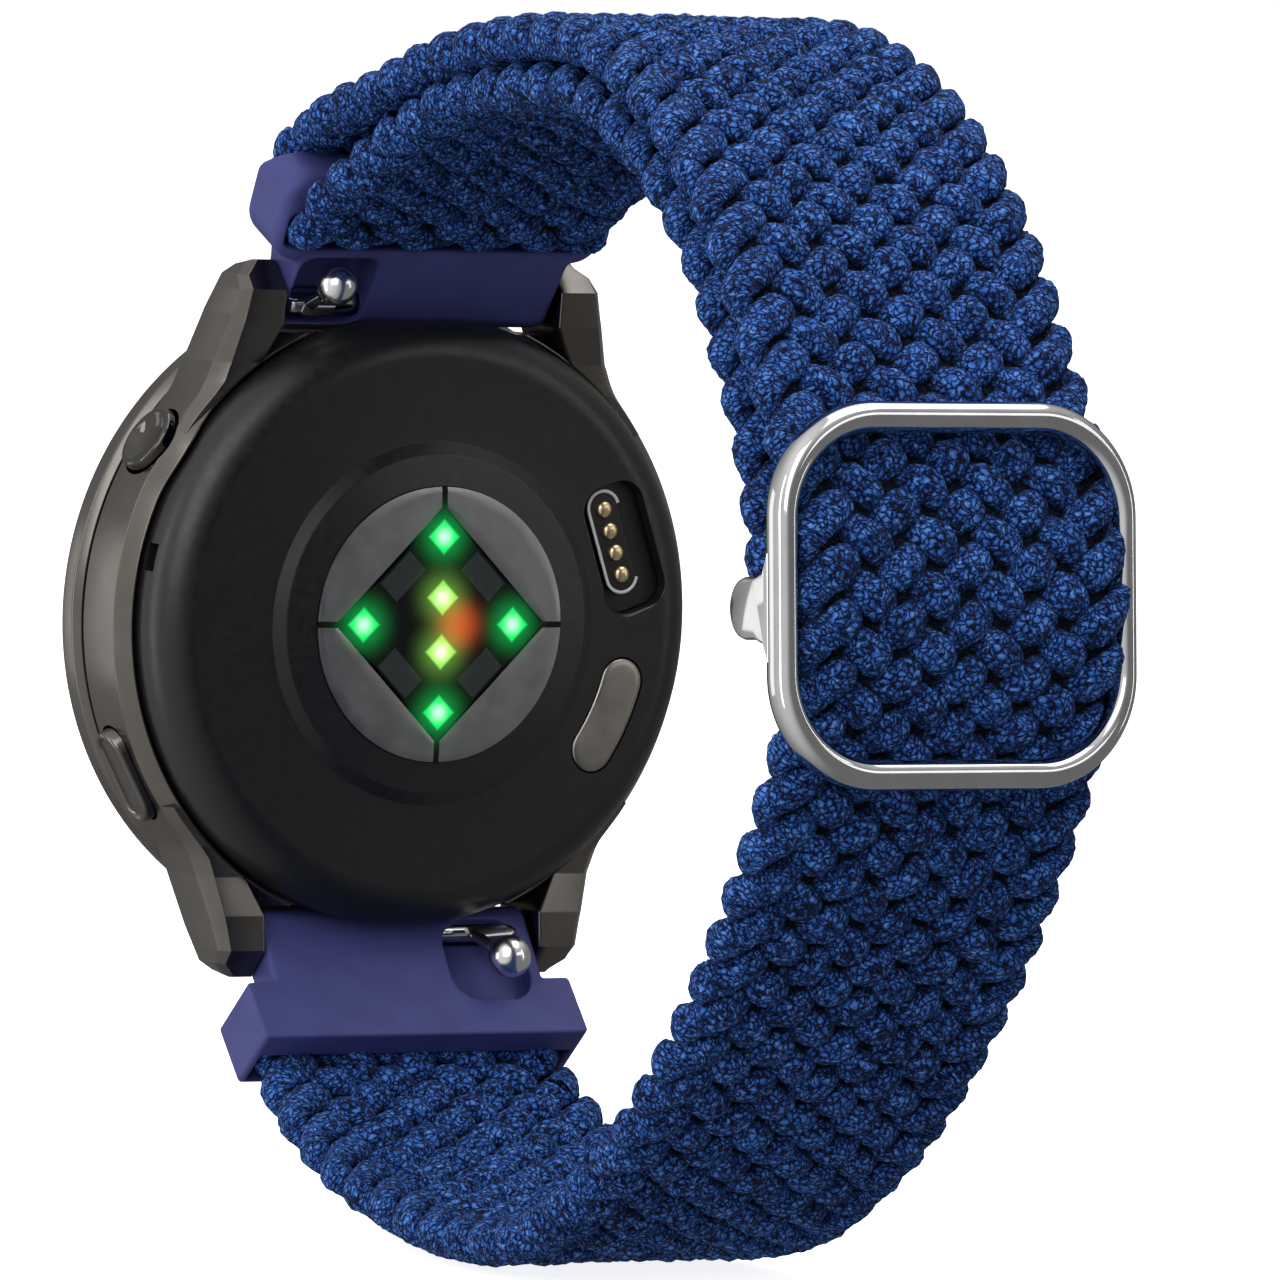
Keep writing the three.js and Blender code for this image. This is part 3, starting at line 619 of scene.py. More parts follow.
def materials():
    """Every material by its slot or its own name."""
    m = {name: metal(name, *values) for name, values in METALS.items()}
    m.update({name: plastic(name, *values) for name, values in PLASTICS.items()})
    m["adapter_plastic"].bsdf.inputs["Specular IOR Level"].default_value = 0.22
    m["glass"] = plastic("cover_glass", (0.006, 0.007, 0.008), 0.05, 2.0, 0.0006, Coat_Weight=1.0,
                         Coat_Roughness=0.02)
    for name, colour in LED_COLOUR.items():
        lens = tuple(0.3 + 0.5 * c for c in colour)
        lamp = plastic(f"led_{name}", lens, 0.3, 0.3, 0.002, Emission_Strength=1.5)
        lamp.bsdf.inputs["Emission Color"].default_value = (*colour, 1)
        m[f"led_{name}"] = lamp
    # The electrodes are no lamps: their green glow is painted light, emission standing in for the green
    # lamps' light falling on them.
    add_glow(m["silver_electrode"], ["green"], 0.0, 0.22, 0.75)
    m["sensor_window"] = window_finish()
    m["braided_elastic"] = braid_finish()
    return {name: f.mat for name, f in m.items()}


M = materials()
# Inner pieces keep their CAD shape and take the finish of their material slot.
for row in frame["record"]["subparts"]:
    mesh = frame["nodes"][row["node"]].data
    mesh.materials.clear()
    mesh.materials.append(M[row["material_slot"]])


# ---- case ----
# Along Z: how low and how high a lug reaches, how far out its side lies, and its chamfer's two sides.
LUG_LOW = ([12.0, 13.5, 16.5, 19.0, 21.2, 23.1], [4.52, 4.5, 4.4, 3.9, 3.7, 5.5])
LUG_HIGH = ([12.0, 16.0, 19.8, 22.7, 23.1], [10.0, 10.0, 9.0, 7.5, 5.52])
LUG_SIDE = ([16.4, 19.6, 22.1, 23.3], [14.4, 13.5, 12.9, 11.3])
LUG_CHAMFER = ([12, 14, 17, 21, 23], [1.0, 0.95, 0.8, 0.6, 0.3])
LUG_CHAMFER_RISE = ([12, 17, 21], [1.0, 1.0, 0.75])
LUG_ROOT, LUG_LEAVES_WALL = 12.0, 16.4
LUG_CREASES = [16.0, 16.5, 19.0, 19.6, 19.8, 21.2, 22.1, 22.7, 23.04]


def lug():
    """A lug in slices along Z, from inside the round wall to its slanted tip."""
    stops = list(np.linspace(LUG_ROOT, 16.2, 40))
    for crease in LUG_CREASES:
        stops += [crease - 0.07, crease, crease + 0.05] if crease < 23 else [crease]
    stops = sorted(set(round(z, 3) for z in stops))
    rings = []
    for z in stops:
        def at(table):
            return float(np.interp(z, *table))
        # The side leaves the wall on a smooth curve, then runs straight.
        if z < LUG_LEAVES_WALL:
            line = 15.4 - (z - 13.5) * (15.4 - 14.4) / 2.9
            apart = math.sqrt(CASE_R ** 2 - z * z) - line
            line += 0.5 * (apart + math.sqrt(apart * apart + 0.16))
        else:
            line = at(LUG_SIDE)
        side = line - 0.03 * max(0, (13.2 - z) / 1.2)
        inner = max(LUG_GAP, math.sqrt(20.0 ** 2 - z * z)) if z < 20 else LUG_GAP
        low, high = at(LUG_LOW), at(LUG_HIGH)
        tall = high - low
        chamfer = min(at(LUG_CHAMFER), 0.45 * (side - inner))
        rise = min(at(LUG_CHAMFER_RISE), 0.4 * tall)
        small = min(0.16, 0.2 * tall)
        front = min(0.4, 0.3 * tall)
        outline = [(inner, low), (side - chamfer, low), (side, low + rise), (side, high - front),
                   (side - front, high), (inner, high)]
        path = rounded(outline, [small, 0.08, 0.10, 0.12, 0.12, small], steps=3)
        rings.append(np.stack([path[:, 0], path[:, 1], np.full(len(path), z)], -1))
    return loft(rings)


def button_place(angle, y):
    """Turns local +X out through a button on the -X side."""
    return Matrix.Translation(Vector((0, y, 0))) @ Matrix.Rotation(math.radians(180 + angle), 4, "Y")


UPPER_OUTLINE = arc(2.25, 0, TURN, 65)[:-1]
LOWER_OUTLINE = stadium(3.0, 6.6, 24)
BUTTON_PLACE = {1: button_place(UPPER_ANGLE, UPPER_Y), -1: button_place(LOWER_ANGLE, LOWER_Y)}
# The rooms that the buttons move in: a clearance hole, then the well that opens outwards.
WELL = [(19.2, 0), (19.25, 0.15), (20.55, 0.15), (22.5, 0.9)]


def block(x0, x1, y0, y1, z0, z1):
    """A plain box between two corners."""
    outline = [(x0, z0), (x1, z0), (x1, z1), (x0, z1)]
    return slab(outline, [(y0, 0), (y1, 0)])


def make_case():
    """The round wall with its button wells, the four lugs, the bezel and the front glass."""
    wall = rounded([(17.6, 5.2), (19.95, 5.2), (19.95, 4.5), (20.1, 4.5), (CASE_R, 5.5), (CASE_R, 9.6),
                    (20.5, 10), (17.6, 10)], [0, 0, 0.05, 0.1, 0.12, 0.12, 0.12, 0])
    verts, faces = lathe(wall, 384)
    # The wall's edge swells towards the cover beside the upper button.
    angle = np.degrees(np.arctan2(verts[:, 2], -verts[:, 0]))
    apart = np.clip((angle - UPPER_ANGLE) / 10.5, -1, 1)
    swell = 0.55 * np.cos(apart * QUARTER) ** 2
    height = verts[:, 1]
    lip = (np.hypot(verts[:, 0], verts[:, 2]) > 19.9) & (height < 5.15)
    above = (height > 5.15) & (height < 5.9)
    verts[:, 1] -= np.where(lip, swell, 0) + np.where(above, 0.8 * swell, 0)
    obj = make("case_wall", (verts, faces))
    holes = {1: (UPPER_OUTLINE, 15.5, -1.35), -1: (LOWER_OUTLINE, 18.5, -0.6)}
    rooms = {}
    for sz, (outline, start, fit) in holes.items():
        well = [(start, fit), (WELL[0][0], fit)] + WELL[1:]
        rooms[sz] = moved(pill(outline, well), BUTTON_PLACE[sz])
    gaps = [block(-LUG_GAP, LUG_GAP, 0, 12, low, low + 24 - LUG_FLAT_Z) for low in (LUG_FLAT_Z, -24)]
    carve(obj, *rooms.values(), *gaps)
    finish_piece(obj, "watch_head", "gunmetal", ["case_frame"])
    for sz, end in ((1, "top"), (-1, "bottom")):
        for sx, hand in ((1, "right"), (-1, "left")):
            hole = moved(rod(0.6, (9.9, 0, 0), (12.2, 0, 0), 32),
                         Matrix.Translation(Vector((0, BAR_Y, BAR_Z))))
            piece = make(f"lug_{hand}_{end}", lug(), 12)
            carve(piece, hole, smooth=12)
            for v in piece.data.vertices:
                v.co.x *= sx
                v.co.z *= sz
            if sx * sz < 0:
                piece.data.flip_normals()
            if sx < 0:
                carve(piece, rooms[sz], smooth=12)
            shade(piece.data, 12)
            finish_piece(piece, "watch_head", "gunmetal")

    bezel = rounded([(18.2, 10.3), (20.7, 10.3), (21.15, 10.75), (21.15, 12.1), (20.6, 12.8), (19.2, 12.9),
                     (19.2, 11.3), (18.2, 11.3)], [0, 0.1, 0.25, 0.35, 0.35, 0.1, 0, 0])
    finish_piece(make("bezel", lathe(bezel, 256)), "watch_head", "gunmetal", ["bezel_ring"])
    glass = rounded([(0, 11.55), (18.95, 11.55), (18.95, 12.75), (18.2, 13.1), (0, 13.1)],
                    [0, 0, 0.1, 0.6, 0], closed=False)
    finish_piece(make("front_glass", lathe(glass, 192, closed=False)), "watch_head", "glass", ["cover_glass"])


PIN_R, PIN_STEP = 0.53, 1.48
PORT_FLOOR_PLACE = about_y(PORT_ANGLE, (PORT_R + PORT_ISLAND, 0, 0))


def make_cover():
    """The domed rear cover with its recesses, and the bean-shaped electrode."""
    shoulder = COVER_R - COVER_SHOULDER
    bend = arc(COVER_SHOULDER, 0.02 - QUARTER, 0, 20, (shoulder, 1.4 + COVER_SHOULDER))
    rise = rounded([(8.9, 0.42), (10.9, 0.72), (11.7, 1.16), (13.0, 1.22), (shoulder, 1.4)],
                   [0, 0.5, 0.10, 0, 0], closed=False, steps=5)
    profile = [(8.9, 1.6), *rise, *bend, (COVER_R, 4.9), (18, 4.9), (18, 4.1), (16.6, 2.6), (8.9, 2.5)]
    verts, faces = lathe(profile, 256)
    verts[:, 2] = np.clip(verts[:, 2], -COVER_FLAT_Z, COVER_FLAT_Z)
    obj = make("rear_shell", (verts, faces))
    port = slab(rounded_rect(4.4, 8.4, 1.5), [(-1, 0.9), (1.0, 0.45), (1.45, 0.05), (1.7, 0), (4.5, 0)])
    port = moved(port, PORT_FLOOR_PLACE)
    pocket = slab(bean(BEAN_R, 1.6, BEAN_FROM, BEAN_TO), [(-1, 0), (1.95, 0)])
    vent = slab(rounded_rect(3.0, 1.8, 0.3, 4), [(3.3, 0), (4.2, 0)])
    vent = moved(vent, about_y(168, (19.9, 0, 0)))
    boss = rod(3.35, (19.25, 0, 0), (22, 0, 0), 48)
    boss = moved(boss, BUTTON_PLACE[1])
    carve(obj, port, pocket, vent, boss)
    finish_piece(obj, "watch_head", "black_polymer", ["rear_cover"])
    face = slab(bean(BEAN_R, 1.5, BEAN_FROM, BEAN_TO),
                [(1.85, 0), (1.42, 0), (1.30, -0.06), (1.24, -0.16), (1.20, -0.5), (1.18, -0.9)])
    finish_piece(make("bean_electrode", face, 60), "watch_head", "silver_electrode", ["skin_electrode"],
                 "skin_electrode")


def make_port():
    """The charge port: its floor, the island with its broken bright rim, and four domed pins."""
    floor = moved(slab(rounded_rect(4.2, 8.2, 1.3), [(3.1, 0), (2.35, 0)]), PORT_FLOOR_PLACE)
    on_island = about_y(PORT_ANGLE, (PORT_R - PORT_ISLAND, 0, PORT_SLIDE))
    island = moved(slab(stadium(2.3, 6.9), [(2.6, 0), (1.85, 0), (1.76, -0.08), (1.75, -0.2)]), on_island)
    obj = make("port_body", merged(floor, island))
    finish_piece(obj, "watch_head", "black_polymer", ["charge_port_housing"], "port_polymer")
    # The rim is a line round the island, broken where the plug's keys pass: (x, z, half length).
    outline = stadium(2.22, 6.82, 40)
    keys = [(1.1, 1.15, 0.55), (-1.1, 0.95, 0.6), (1.1, -2.2, 0.5), (-1.1, -1.75, 0.5)]
    runs = [[]]
    for x, z in np.concatenate([outline, outline[:1]]):
        if not any(abs(x - kx) < 0.5 and abs(z - kz) < half for kx, kz, half in keys):
            runs[-1].append((x, 1.72, z))
        elif runs[-1]:
            runs.append([])
    t = np.linspace(0, TURN, 12, endpoint=False)
    lines = []
    for run in runs:
        if len(run) > 2:
            path = np.array(run)
            side = np.cross(units(np.gradient(path, axis=0)), [0, 1, 0])
            section = 0.11 * np.cos(t)[None, :, None] * side[:, None]
            section = section + np.stack([0 * t, 0.07 * np.sin(t), 0 * t], -1)
            lines.append(loft(path[:, None] + section))
    rim = make("port_rim", moved(merged(*lines), on_island), 60)
    finish_piece(rim, "watch_head", "silver_electrode", finish="port_rim")
    dome = [(0, 2.5), (PIN_R, 2.5), (PIN_R, 1.66)] + [(PIN_R * math.cos(t), 1.64 - 0.30 * math.sin(t))
                                                      for t in np.linspace(0.1, QUARTER, 12)]
    for k in range(4):
        at = about_y(PORT_ANGLE, (PORT_R - PORT_ISLAND, 0, PORT_SLIDE + (k - 1.5) * PIN_STEP))
        pin = moved(lathe(rounded(dome, 0.03, closed=False), 32, closed=False), at)
        finish_piece(make(f"port_pin_{k + 1}", pin, 50), "watch_head", "gold_contact",
                     [f"charge_contact_{k + 1}"])


def crown(x, z):
    """The gently domed face of the sensor."""
    return 0.22 * (x * x + z * z) / SENSOR_R ** 2


SLIT_HALF = 0.20               # half the gap between two electrodes


def make_sensor():
    """Four electrodes round a dark diamond window, with dark bars in the gaps between them."""
    arm = SLIT_HALF
    corner = math.asin(arm / SENSOR_R)
    # Each electrode is a sector of the disc outside the dark diamond, as a grid from the diamond to the rim.
    names = {(1, 1): "right_top", (-1, 1): "left_top", (-1, -1): "left_bottom", (1, -1): "right_bottom"}
    for (sx, sz), place in names.items():
        rings = []
        for t in np.linspace(0, 1, 49):
            inner = np.array([arm + (WINDOW + 0.08 - arm) * (1 - t), arm + (WINDOW + 0.08 - arm) * t])
            a = corner + (QUARTER - 2 * corner) * t
            outer = np.array([math.cos(a), math.sin(a)]) * SENSOR_R
            column = []
            for u in np.linspace(0, 1, 9):
                x, z = inner + (outer - inner) * u
                edge_drop = 0.05 if u in (0, 1) else 0
                column.append((x, crown(x, z) + edge_drop, z))
            column += [(outer[0], 0.45, outer[1]), (inner[0], 0.45, inner[1])]
            rings.append(column)
        part = loft(np.array(rings) * [sx, 1, sz])
        finish_piece(make(f"electrode_face_{place}", part, 40), "watch_head", "silver_electrode",
                     [f"electrode_{place}"])
    lens = lathe([(0, 0.40), (SENSOR_R, 0.40), (SENSOR_R, 1.4), (0, 1.4)], 128, closed=False)
    # The window is a grid on its diamond, with a skirt round its edge.
    a, b = np.meshgrid(np.linspace(-1, 1, 33), np.linspace(-1, 1, 33), indexing="ij")
    x, z = WINDOW * (a + b) / 2, WINDOW * (a - b) / 2
    top = np.stack([x, crown(x, z) + 0.02, z], -1)
    edge = np.concatenate([top[0], top[1:, -1], top[-1, -2::-1], top[-2:0:-1, 0]])
    skirt = loft([edge, edge * [1, 0, 1] + [0, 0.5, 0]], caps=False)
    pad = merged(loft(top, around=False, caps=False), skirt)
    rings = []
    half = arm - 0.02
    for x in np.linspace(-SENSOR_R, SENSOR_R, 41):
        y = crown(x, 0) + 0.03
        rings.append([(x, y, -half), (x, y, half), (x, 0.5, half), (x, 0.5, -half)])
    bars = [moved(loft(rings), about_y(angle)) for angle in (0, 90)]
    finish_piece(make("sensor_window", merged(pad, *bars, lens), 40), "watch_head", "glass",
                 ["sensor_lens"], "sensor_window")


def make_buttons():
    """Both button caps, from their stems out to the dished faces: layers of (x, growth)."""
    collar = [(19.9, -0.15), (19.95, 0)]
    round_cap = [(17, -1.55), (19.9, -1.55), *collar, (21.25, 0), (21.42, -0.06), (21.5, -0.22),
                 (21.5, -0.42), (21.38, -0.62), (21.12, -0.95), (20.98, -1.35), (20.93, -1.8), (20.92, -2.2)]
    long_cap = [(19.2, -0.8), (19.9, -0.8), *collar, (21.2, 0), (21.38, -0.07), (21.46, -0.2), (21.46, -0.34),
                (21.36, -0.46), (21.28, -0.52), (21.27, -0.75), (21.3, -1.1), (21.32, -1.44)]
    finish_piece(make("upper_button_cap", moved(pill(UPPER_OUTLINE, round_cap), BUTTON_PLACE[1]), 45),
                 "upper_button", "dark_chrome", ["upper_button"])
    finish_piece(make("lower_button_cap", moved(pill(LOWER_OUTLINE, long_cap), BUTTON_PLACE[-1]), 45),
                 "lower_button", "gunmetal", ["lower_button"])


# ---- adapters ----
def tipped(y, z, tilt):
    """A placement at (y, z) that turns about X by the tilt."""
    return Matrix.Translation(Vector((0, y, z))) @ Matrix.Rotation(math.radians(tilt), 4, "X")


END_PLACE = {"top": tipped(BAR_Y, BAR_Z, TOP_TILT),
             "bottom": tipped(BAR_Y, -BAR_Z, -BOTTOM_TILT) @ Matrix.Rotation(math.pi, 4, "Y")}
# The quick-release balls, in the frame of their band end, and the windows they stand in (X and T ranges).
KNOB = {"top": np.array([-7.1, -3.0, 2.7]), "bottom": np.array([-6.5, -3.0, 4.3])}
KNOB_R = {"top": 1.3, "bottom": 1.42}
WINDOW_BOX = {"top": (-9.5, -4.0, -1.0, 4.2), "bottom": (-8.9, -3.2, 0.2, 6.1)}
ARM = {
    "top": [(-9.0, -0.2, 0.1), (-8.9, -1.15, 0.15), (-7.9, -1.25, 0.25), (-7.2, -2.1, 1.5)],
    "bottom": [(-9.0, -0.2, 0.1), (-8.9, -1.2, 0.4), (-8.3, -1.35, 1.0), (-6.6, -1.4, 1.15),
               (-5.6, -1.45, 1.3), (-6.1, -2.2, 2.9)],
}
TAIL = {
    "top": [(-8.2, -1.3, 0.1), (-7.0, -1.3, 0.0), (-5.9, -1.3, 0.0)],
    "bottom": [(-8.0, -1.35, 0.95), (-6.0, -1.4, 1.1), (-5.2, -1.4, 1.15)],
}


def strip(path, half_wide=0.42, half_thick=0.2):
    """A flat bent strip along a path, its flat side towards the wrist."""
    points, _ = evenly(path, 0.12)
    d = units(np.gradient(points, axis=0))
    wide = units(np.cross(d, [0, 1, 0]))
    out = np.cross(wide, d)
    cu, su = squarish(24, 0.4)
    return loft(points[:, None] + half_wide * cu[None, :, None] * wide[:, None]
                + half_thick * su[None, :, None] * out[:, None])


def lever(end):
    """The quick-release pin, its bent arm and its ball."""
    pin = rod(0.42, (-11.2, 0, 0), (-5, 0, 0), 32, 0.08)
    knob, radius = KNOB[end], KNOB_R[end]
    arm = strip(rounded([*ARM[end], knob], 0.3, closed=False, steps=6))
    toward = unit(knob - np.array(ARM[end][-1]))
    ball = [(radius * math.sin(t), radius * math.cos(t)) for t in np.linspace(0, math.pi, 33)]
    # The collar where the arm enters the ball.
    collar = [(0, -0.32), (0.5, -0.32), (0.62, -0.2), (0.62, 0.2), (0.5, 0.3), (0, 0.3)]
    collar = [(r, y - radius) for r, y in collar]
    return merged(pin, arm, strip(TAIL[end]), turned(ball, knob, toward, 64),
                  turned(collar, knob, toward, 32))


def make_bar(end):
    """One spring bar: its lever, and its tube along X."""
    place = END_PLACE[end]
    # The lever takes the lighter steel, whose extra lightness is painted light.
    finish_piece(make(f"{end}_bar_lever", moved(lever(end), place), 40), f"{end}_release", "polished_steel",
                 [f"{end}_release_lever"], "lit_lever_steel")
    outer, inner, half = 0.78, 0.5, 8.9
    tube = lathe(rounded([(inner, -half), (outer, -half), (outer, half), (inner, half)], 0.06), 48)
    part = moved(tube, place @ Matrix.Rotation(-QUARTER, 4, "Z"))
    finish_piece(make(f"{end}_bar_tube", part, 40), f"{end}_end", "polished_steel", [f"{end}_bar_tube"])


def arc_layers(low, high, radius, steps=5):
    """Layers of (height, growth) for a plate with its edges rounded over on both faces."""
    out = []
    for k in range(steps + 1):
        a = QUARTER * k / steps
        out.append((low + radius * (1 - math.cos(a)), -radius * (1 - math.sin(a))))
    return out + [(low + high - y, g) for y, g in out[::-1]]


def fused(name, parts, voxel, rounds):
    """Overlapping closed parts run into one skin, with the small radii that moulding leaves."""
    for obj in parts[1:]:
        bm = bmesh.new()
        bm.from_mesh(parts[0].data)
        bm.from_mesh(obj.data)
        bm.to_mesh(parts[0].data)
        bm.free()
        bpy.data.objects.remove(obj)
    obj = parts[0]
    obj.name = name
    remesh = obj.modifiers.new("remesh", "REMESH")
    remesh.mode = "VOXEL"
    remesh.voxel_size = voxel * MM
    smooth = obj.modifiers.new("smooth", "SMOOTH")
    smooth.factor = 0.5
    smooth.iterations = rounds
    return applied(obj, 180)


TONGUE_HALF, TONGUE_R = 9.85, 1.6
# The lever's window in a band end: where its floor lies and its corner's radius.
WINDOW_FLOOR = {"top": (0.6, 0.9), "bottom": (0.35, 1.9)}


def connector(end, face, far_face, start, stop, half, corner, soft):
    """A band end: the tongue that holds the spring bar and the wide block, not yet fused."""
    plan = [(-half, start), (half, start), (half, stop), (-half, stop)]
    wide = make(f"{end}_block", slab(rounded(plan, corner, steps=8), arc_layers(face, far_face, soft)))
    nose = arc(TONGUE_R, -math.pi, 0, 24)
    side = np.array([(face, start + 0.6), *nose, (min(far_face, TONGUE_R), start * 0.6),
                     (far_face, start + 0.8)])
    ends = [(-TONGUE_HALF, -0.35), (-TONGUE_HALF + 0.1, -0.12), (-TONGUE_HALF + 0.35, 0)]
    tongue = make(f"{end}_tongue", pill(side, ends + [(-x, g) for x, g in ends[::-1]]))
    x0, x1, t0, t1 = WINDOW_BOX[end]
    floor, window_corner = WINDOW_FLOOR[end]
    window = slab(rounded_rect(x1 - x0, t1 - t0, window_corner), [(-6, 0.2), (floor - 0.4, 0), (floor, -0.4)])
    window = moved(window, Matrix.Translation(Vector(((x0 + x1) / 2, 0, (t0 + t1) / 2))))
    carve(tongue, window, rod(0.95, (-10.5, 0, 0), (10.5, 0, 0), 40))
    return wide, tongue, window


def make_adapters():
    """Both band ends. The strap turns round the top one's bar and is sewn into the bottom one's pocket."""
    wide, tongue, window = connector("top", -2.5, 2.5, 3.9, 10.4, 12.0, 2.0, 0.8)
    slot = slab(rounded([(-11.3, 5.0), (11.3, 5.0), (11.3, 7.4), (-11.3, 7.4)], 0.4), [(-8, 0), (8, 0)])
    slant = pill([(2.7, 7.97), (2.7, 11.6), (-0.4, 11.6)], [(-14, 0), (14, 0)])
    carve(wide, slot, slant, window)
    ends = {"top": fused("top_connector", [wide, tongue], 0.15, 8)}
    wide, tongue, window = connector("bottom", -0.9, 4.1, 4.4, 8.8, 11.8, 0.3, 0.12)
    pocket = slab([(-11.35, 5.4), (11.35, 5.4), (11.35, 12), (-11.35, 12)], [(1.2, 0), (3.85, 0)])
    carve(wide, pocket, window)
    ends["bottom"] = fused("bottom_connector", [wide, tongue], 0.11, 1)
    for end, obj in ends.items():
        place = END_PLACE[end].copy()
        place.translation *= MM
        obj.data.transform(place)
        finish_piece(obj, f"{end}_end", "adapter_plastic", [f"{end}_adapter"])
    for end in ends:
        make_bar(end)


# ---- buckle ----
BUCKLE_PLACE = tipped(ARC_Y, ARC_Z, -BUCKLE_TILT)
CROSSBAR_Y, CROSSBAR_Z = -28.7, -0.7


def buckle_ring():
    """The square ring with round corners, its bars softly squarish in section."""
    steps = 24
    outer = rounded_rect(BUCKLE_W, BUCKLE_H, 6.9, steps)
    inner = rounded_rect(BUCKLE_W - 3.0, BUCKLE_H - 3.8, 5.3, steps)
    cu, su = squarish(40, 2 / 2.35)
    middle, half = -(RING_BACK + RING_FRONT) / 2, (RING_FRONT - RING_BACK) / 2
    rings = []
    for k in range(len(outer)):
        after = (k + 1) % len(outer)
        # A corner's steps are close enough; a straight bar is split into 20.
        for t in np.linspace(0, 1, 1 if (k + 1) % (steps + 1) else 20, endpoint=False):
            o = outer[k] + (outer[after] - outer[k]) * t
            i = inner[k] + (inner[after] - inner[k]) * t
            plan = (o + i) / 2 + cu[:, None] * (o - i) / 2
            rings.append(np.stack([plan[:, 0], middle + su * half, plan[:, 1]], -1))
    return loft(rings, along=True)


def buckle_ear(side):
    """The tab that carries the crossbar, rounded at its end and flared where it meets the ring."""
    half, reach, thick = 1.9, 27.3, 1.3
    flare = [(-32.2, -half - 1.4), (-31.2, -half - 0.3), (-30.2, -half)]
    tip = arc(half, -QUARTER, QUARTER, 18, (-reach - half, 0))
    outline = np.array([*flare, *tip, *[(y, -z) for y, z in flare[::-1]]]) + (0, CROSSBAR_Z)
    x = side * (BUCKLE_W / 2 - thick / 2 - 0.02)
    edge = [(-thick / 2, -0.25), (-thick / 2 + 0.08, -0.08), (-thick / 2 + 0.25, 0)]
    return pill(outline, [(x + dx, g) for dx, g in edge] + [(x - dx, g) for dx, g in edge[::-1]])


def make_buckle():
    """The ring with its two ears, and the crossbar between them."""
    ring = moved(merged(buckle_ring(), buckle_ear(1), buckle_ear(-1)), BUCKLE_PLACE)
    finish_piece(make("buckle_frame", ring, 40), "buckle", "polished_steel", ["buckle_ring"])
    bar = rod(0.7, (-12.1, CROSSBAR_Y, CROSSBAR_Z), (12.1, CROSSBAR_Y, CROSSBAR_Z), 40, 0.1)
    bar = moved(bar, BUCKLE_PLACE)
    finish_piece(make("buckle_bar", bar, 40), "buckle", "polished_steel", ["buckle_crossbar"])


# ---- band ----
def on_arc(angle, radius=ARC_R):
    """A point (y, z) on the round stretch of the band, by its angle above the middle."""
    a = math.radians(angle)
    return (ARC_Y - radius * math.cos(a), ARC_Z + radius * math.sin(a))


def in_end(tilt, o, t, side=1):
    """A point (y, z) given in a band end: o outwards and t away from the spring bar."""
    a = math.radians(tilt)
    return (BAR_Y + o * math.cos(a) - t * math.sin(a), side * (BAR_Z + o * math.sin(a) + t * math.cos(a)))


LAYER_STEP = 3.0               # between the middles of the band's two layers
OVER_TOP = [(-16.5, 37), (-27, 38.5), (-34.5, 38.2), (-42, 35.4), (-48.6, 30.9), (-53.2, 26.2)]


def inset(path, distance):
    """A path moved towards the wrist."""
    p = np.asarray(path, float)
    d = units(np.gradient(p, axis=0))
    return p + distance * np.stack([-d[:, 1], d[:, 0]], -1)


def band_path():
    """The band's middle line in (y, z) from the crossbar, up inside, round the top end and down outside,
    with the distances along it where the pieces of the band meet and where it turns round the top end."""
    bar = np.array(on_arc(BUCKLE_TILT - 1.4, 28.7))
    wrap = [tuple(bar + 1.5 * np.array([math.cos(a), math.sin(a)])) for a in np.radians([-150, -95, -40])]
    sleeve = wrap + [on_arc(7.5, 27.4), on_arc(12.8, 27.8), on_arc(24, 28), on_arc(36, 28)]
    inner = [tuple(p) for p in inset(OVER_TOP, LAYER_STEP)[::-1]]
    inner += [(-10.4, 31.6), (-5.8, 29.3), in_end(TOP_TILT, -4.9, 10.4)]
    turn = [in_end(TOP_TILT, o, t) for o, t in
            [(-3.9, 8.6), (-3.6, 7.4), (-3.0, 6.5), (-1.6, 6.15), (1.8, 6.1), (3.4, 6.6), (3.85, 7.7),
             (3.3, 9.0), (2.3, 10.4), (0.9, 11.8), (-0.72, 13.4)]]
    outer = [(-3.5, 33.2), (-6.8, 34.1)] + OVER_TOP
    ring = [on_arc(BUCKLE_TILT + a, r) for a, r in
            [(31.2, 31), (25, 31), (19.5, 31), (12, 31.9), (6, 32.5), (0, 32.7), (-6, 32.5), (-12, 31.9),
             (-19.5, 31), (-24, 31), (-30.2, 31)]]
    lower = [(-55.9, -14.6), (-51.6, -20.6), (-46.2, -26.4), (-39.6, -31.6), (-32.6, -35.2), (-24.5, -36.7),
             (-15.5, -36), (-8.6, -34.4), (-3, -32.1)]
    sewn = [in_end(BOTTOM_TILT, 2.45, t, -1) for t in (10.2, 9.4, 5.6)]
    points = np.array(sleeve + inner + turn + outer + ring + lower + sewn)
    line, s = evenly(catmull(points), 0.1)
    line = blurred(line, 6)
    cuts = [(-24.5, 35.4), (-27, 38.5), on_arc(BUCKLE_TILT, 32.1), (-32.6, -35.2), in_end(TOP_TILT, 0.5, 6.1)]
    return line, s, [s[np.argmin(np.hypot(line[:, 0] - y, line[:, 1] - z))] for y, z in cuts]


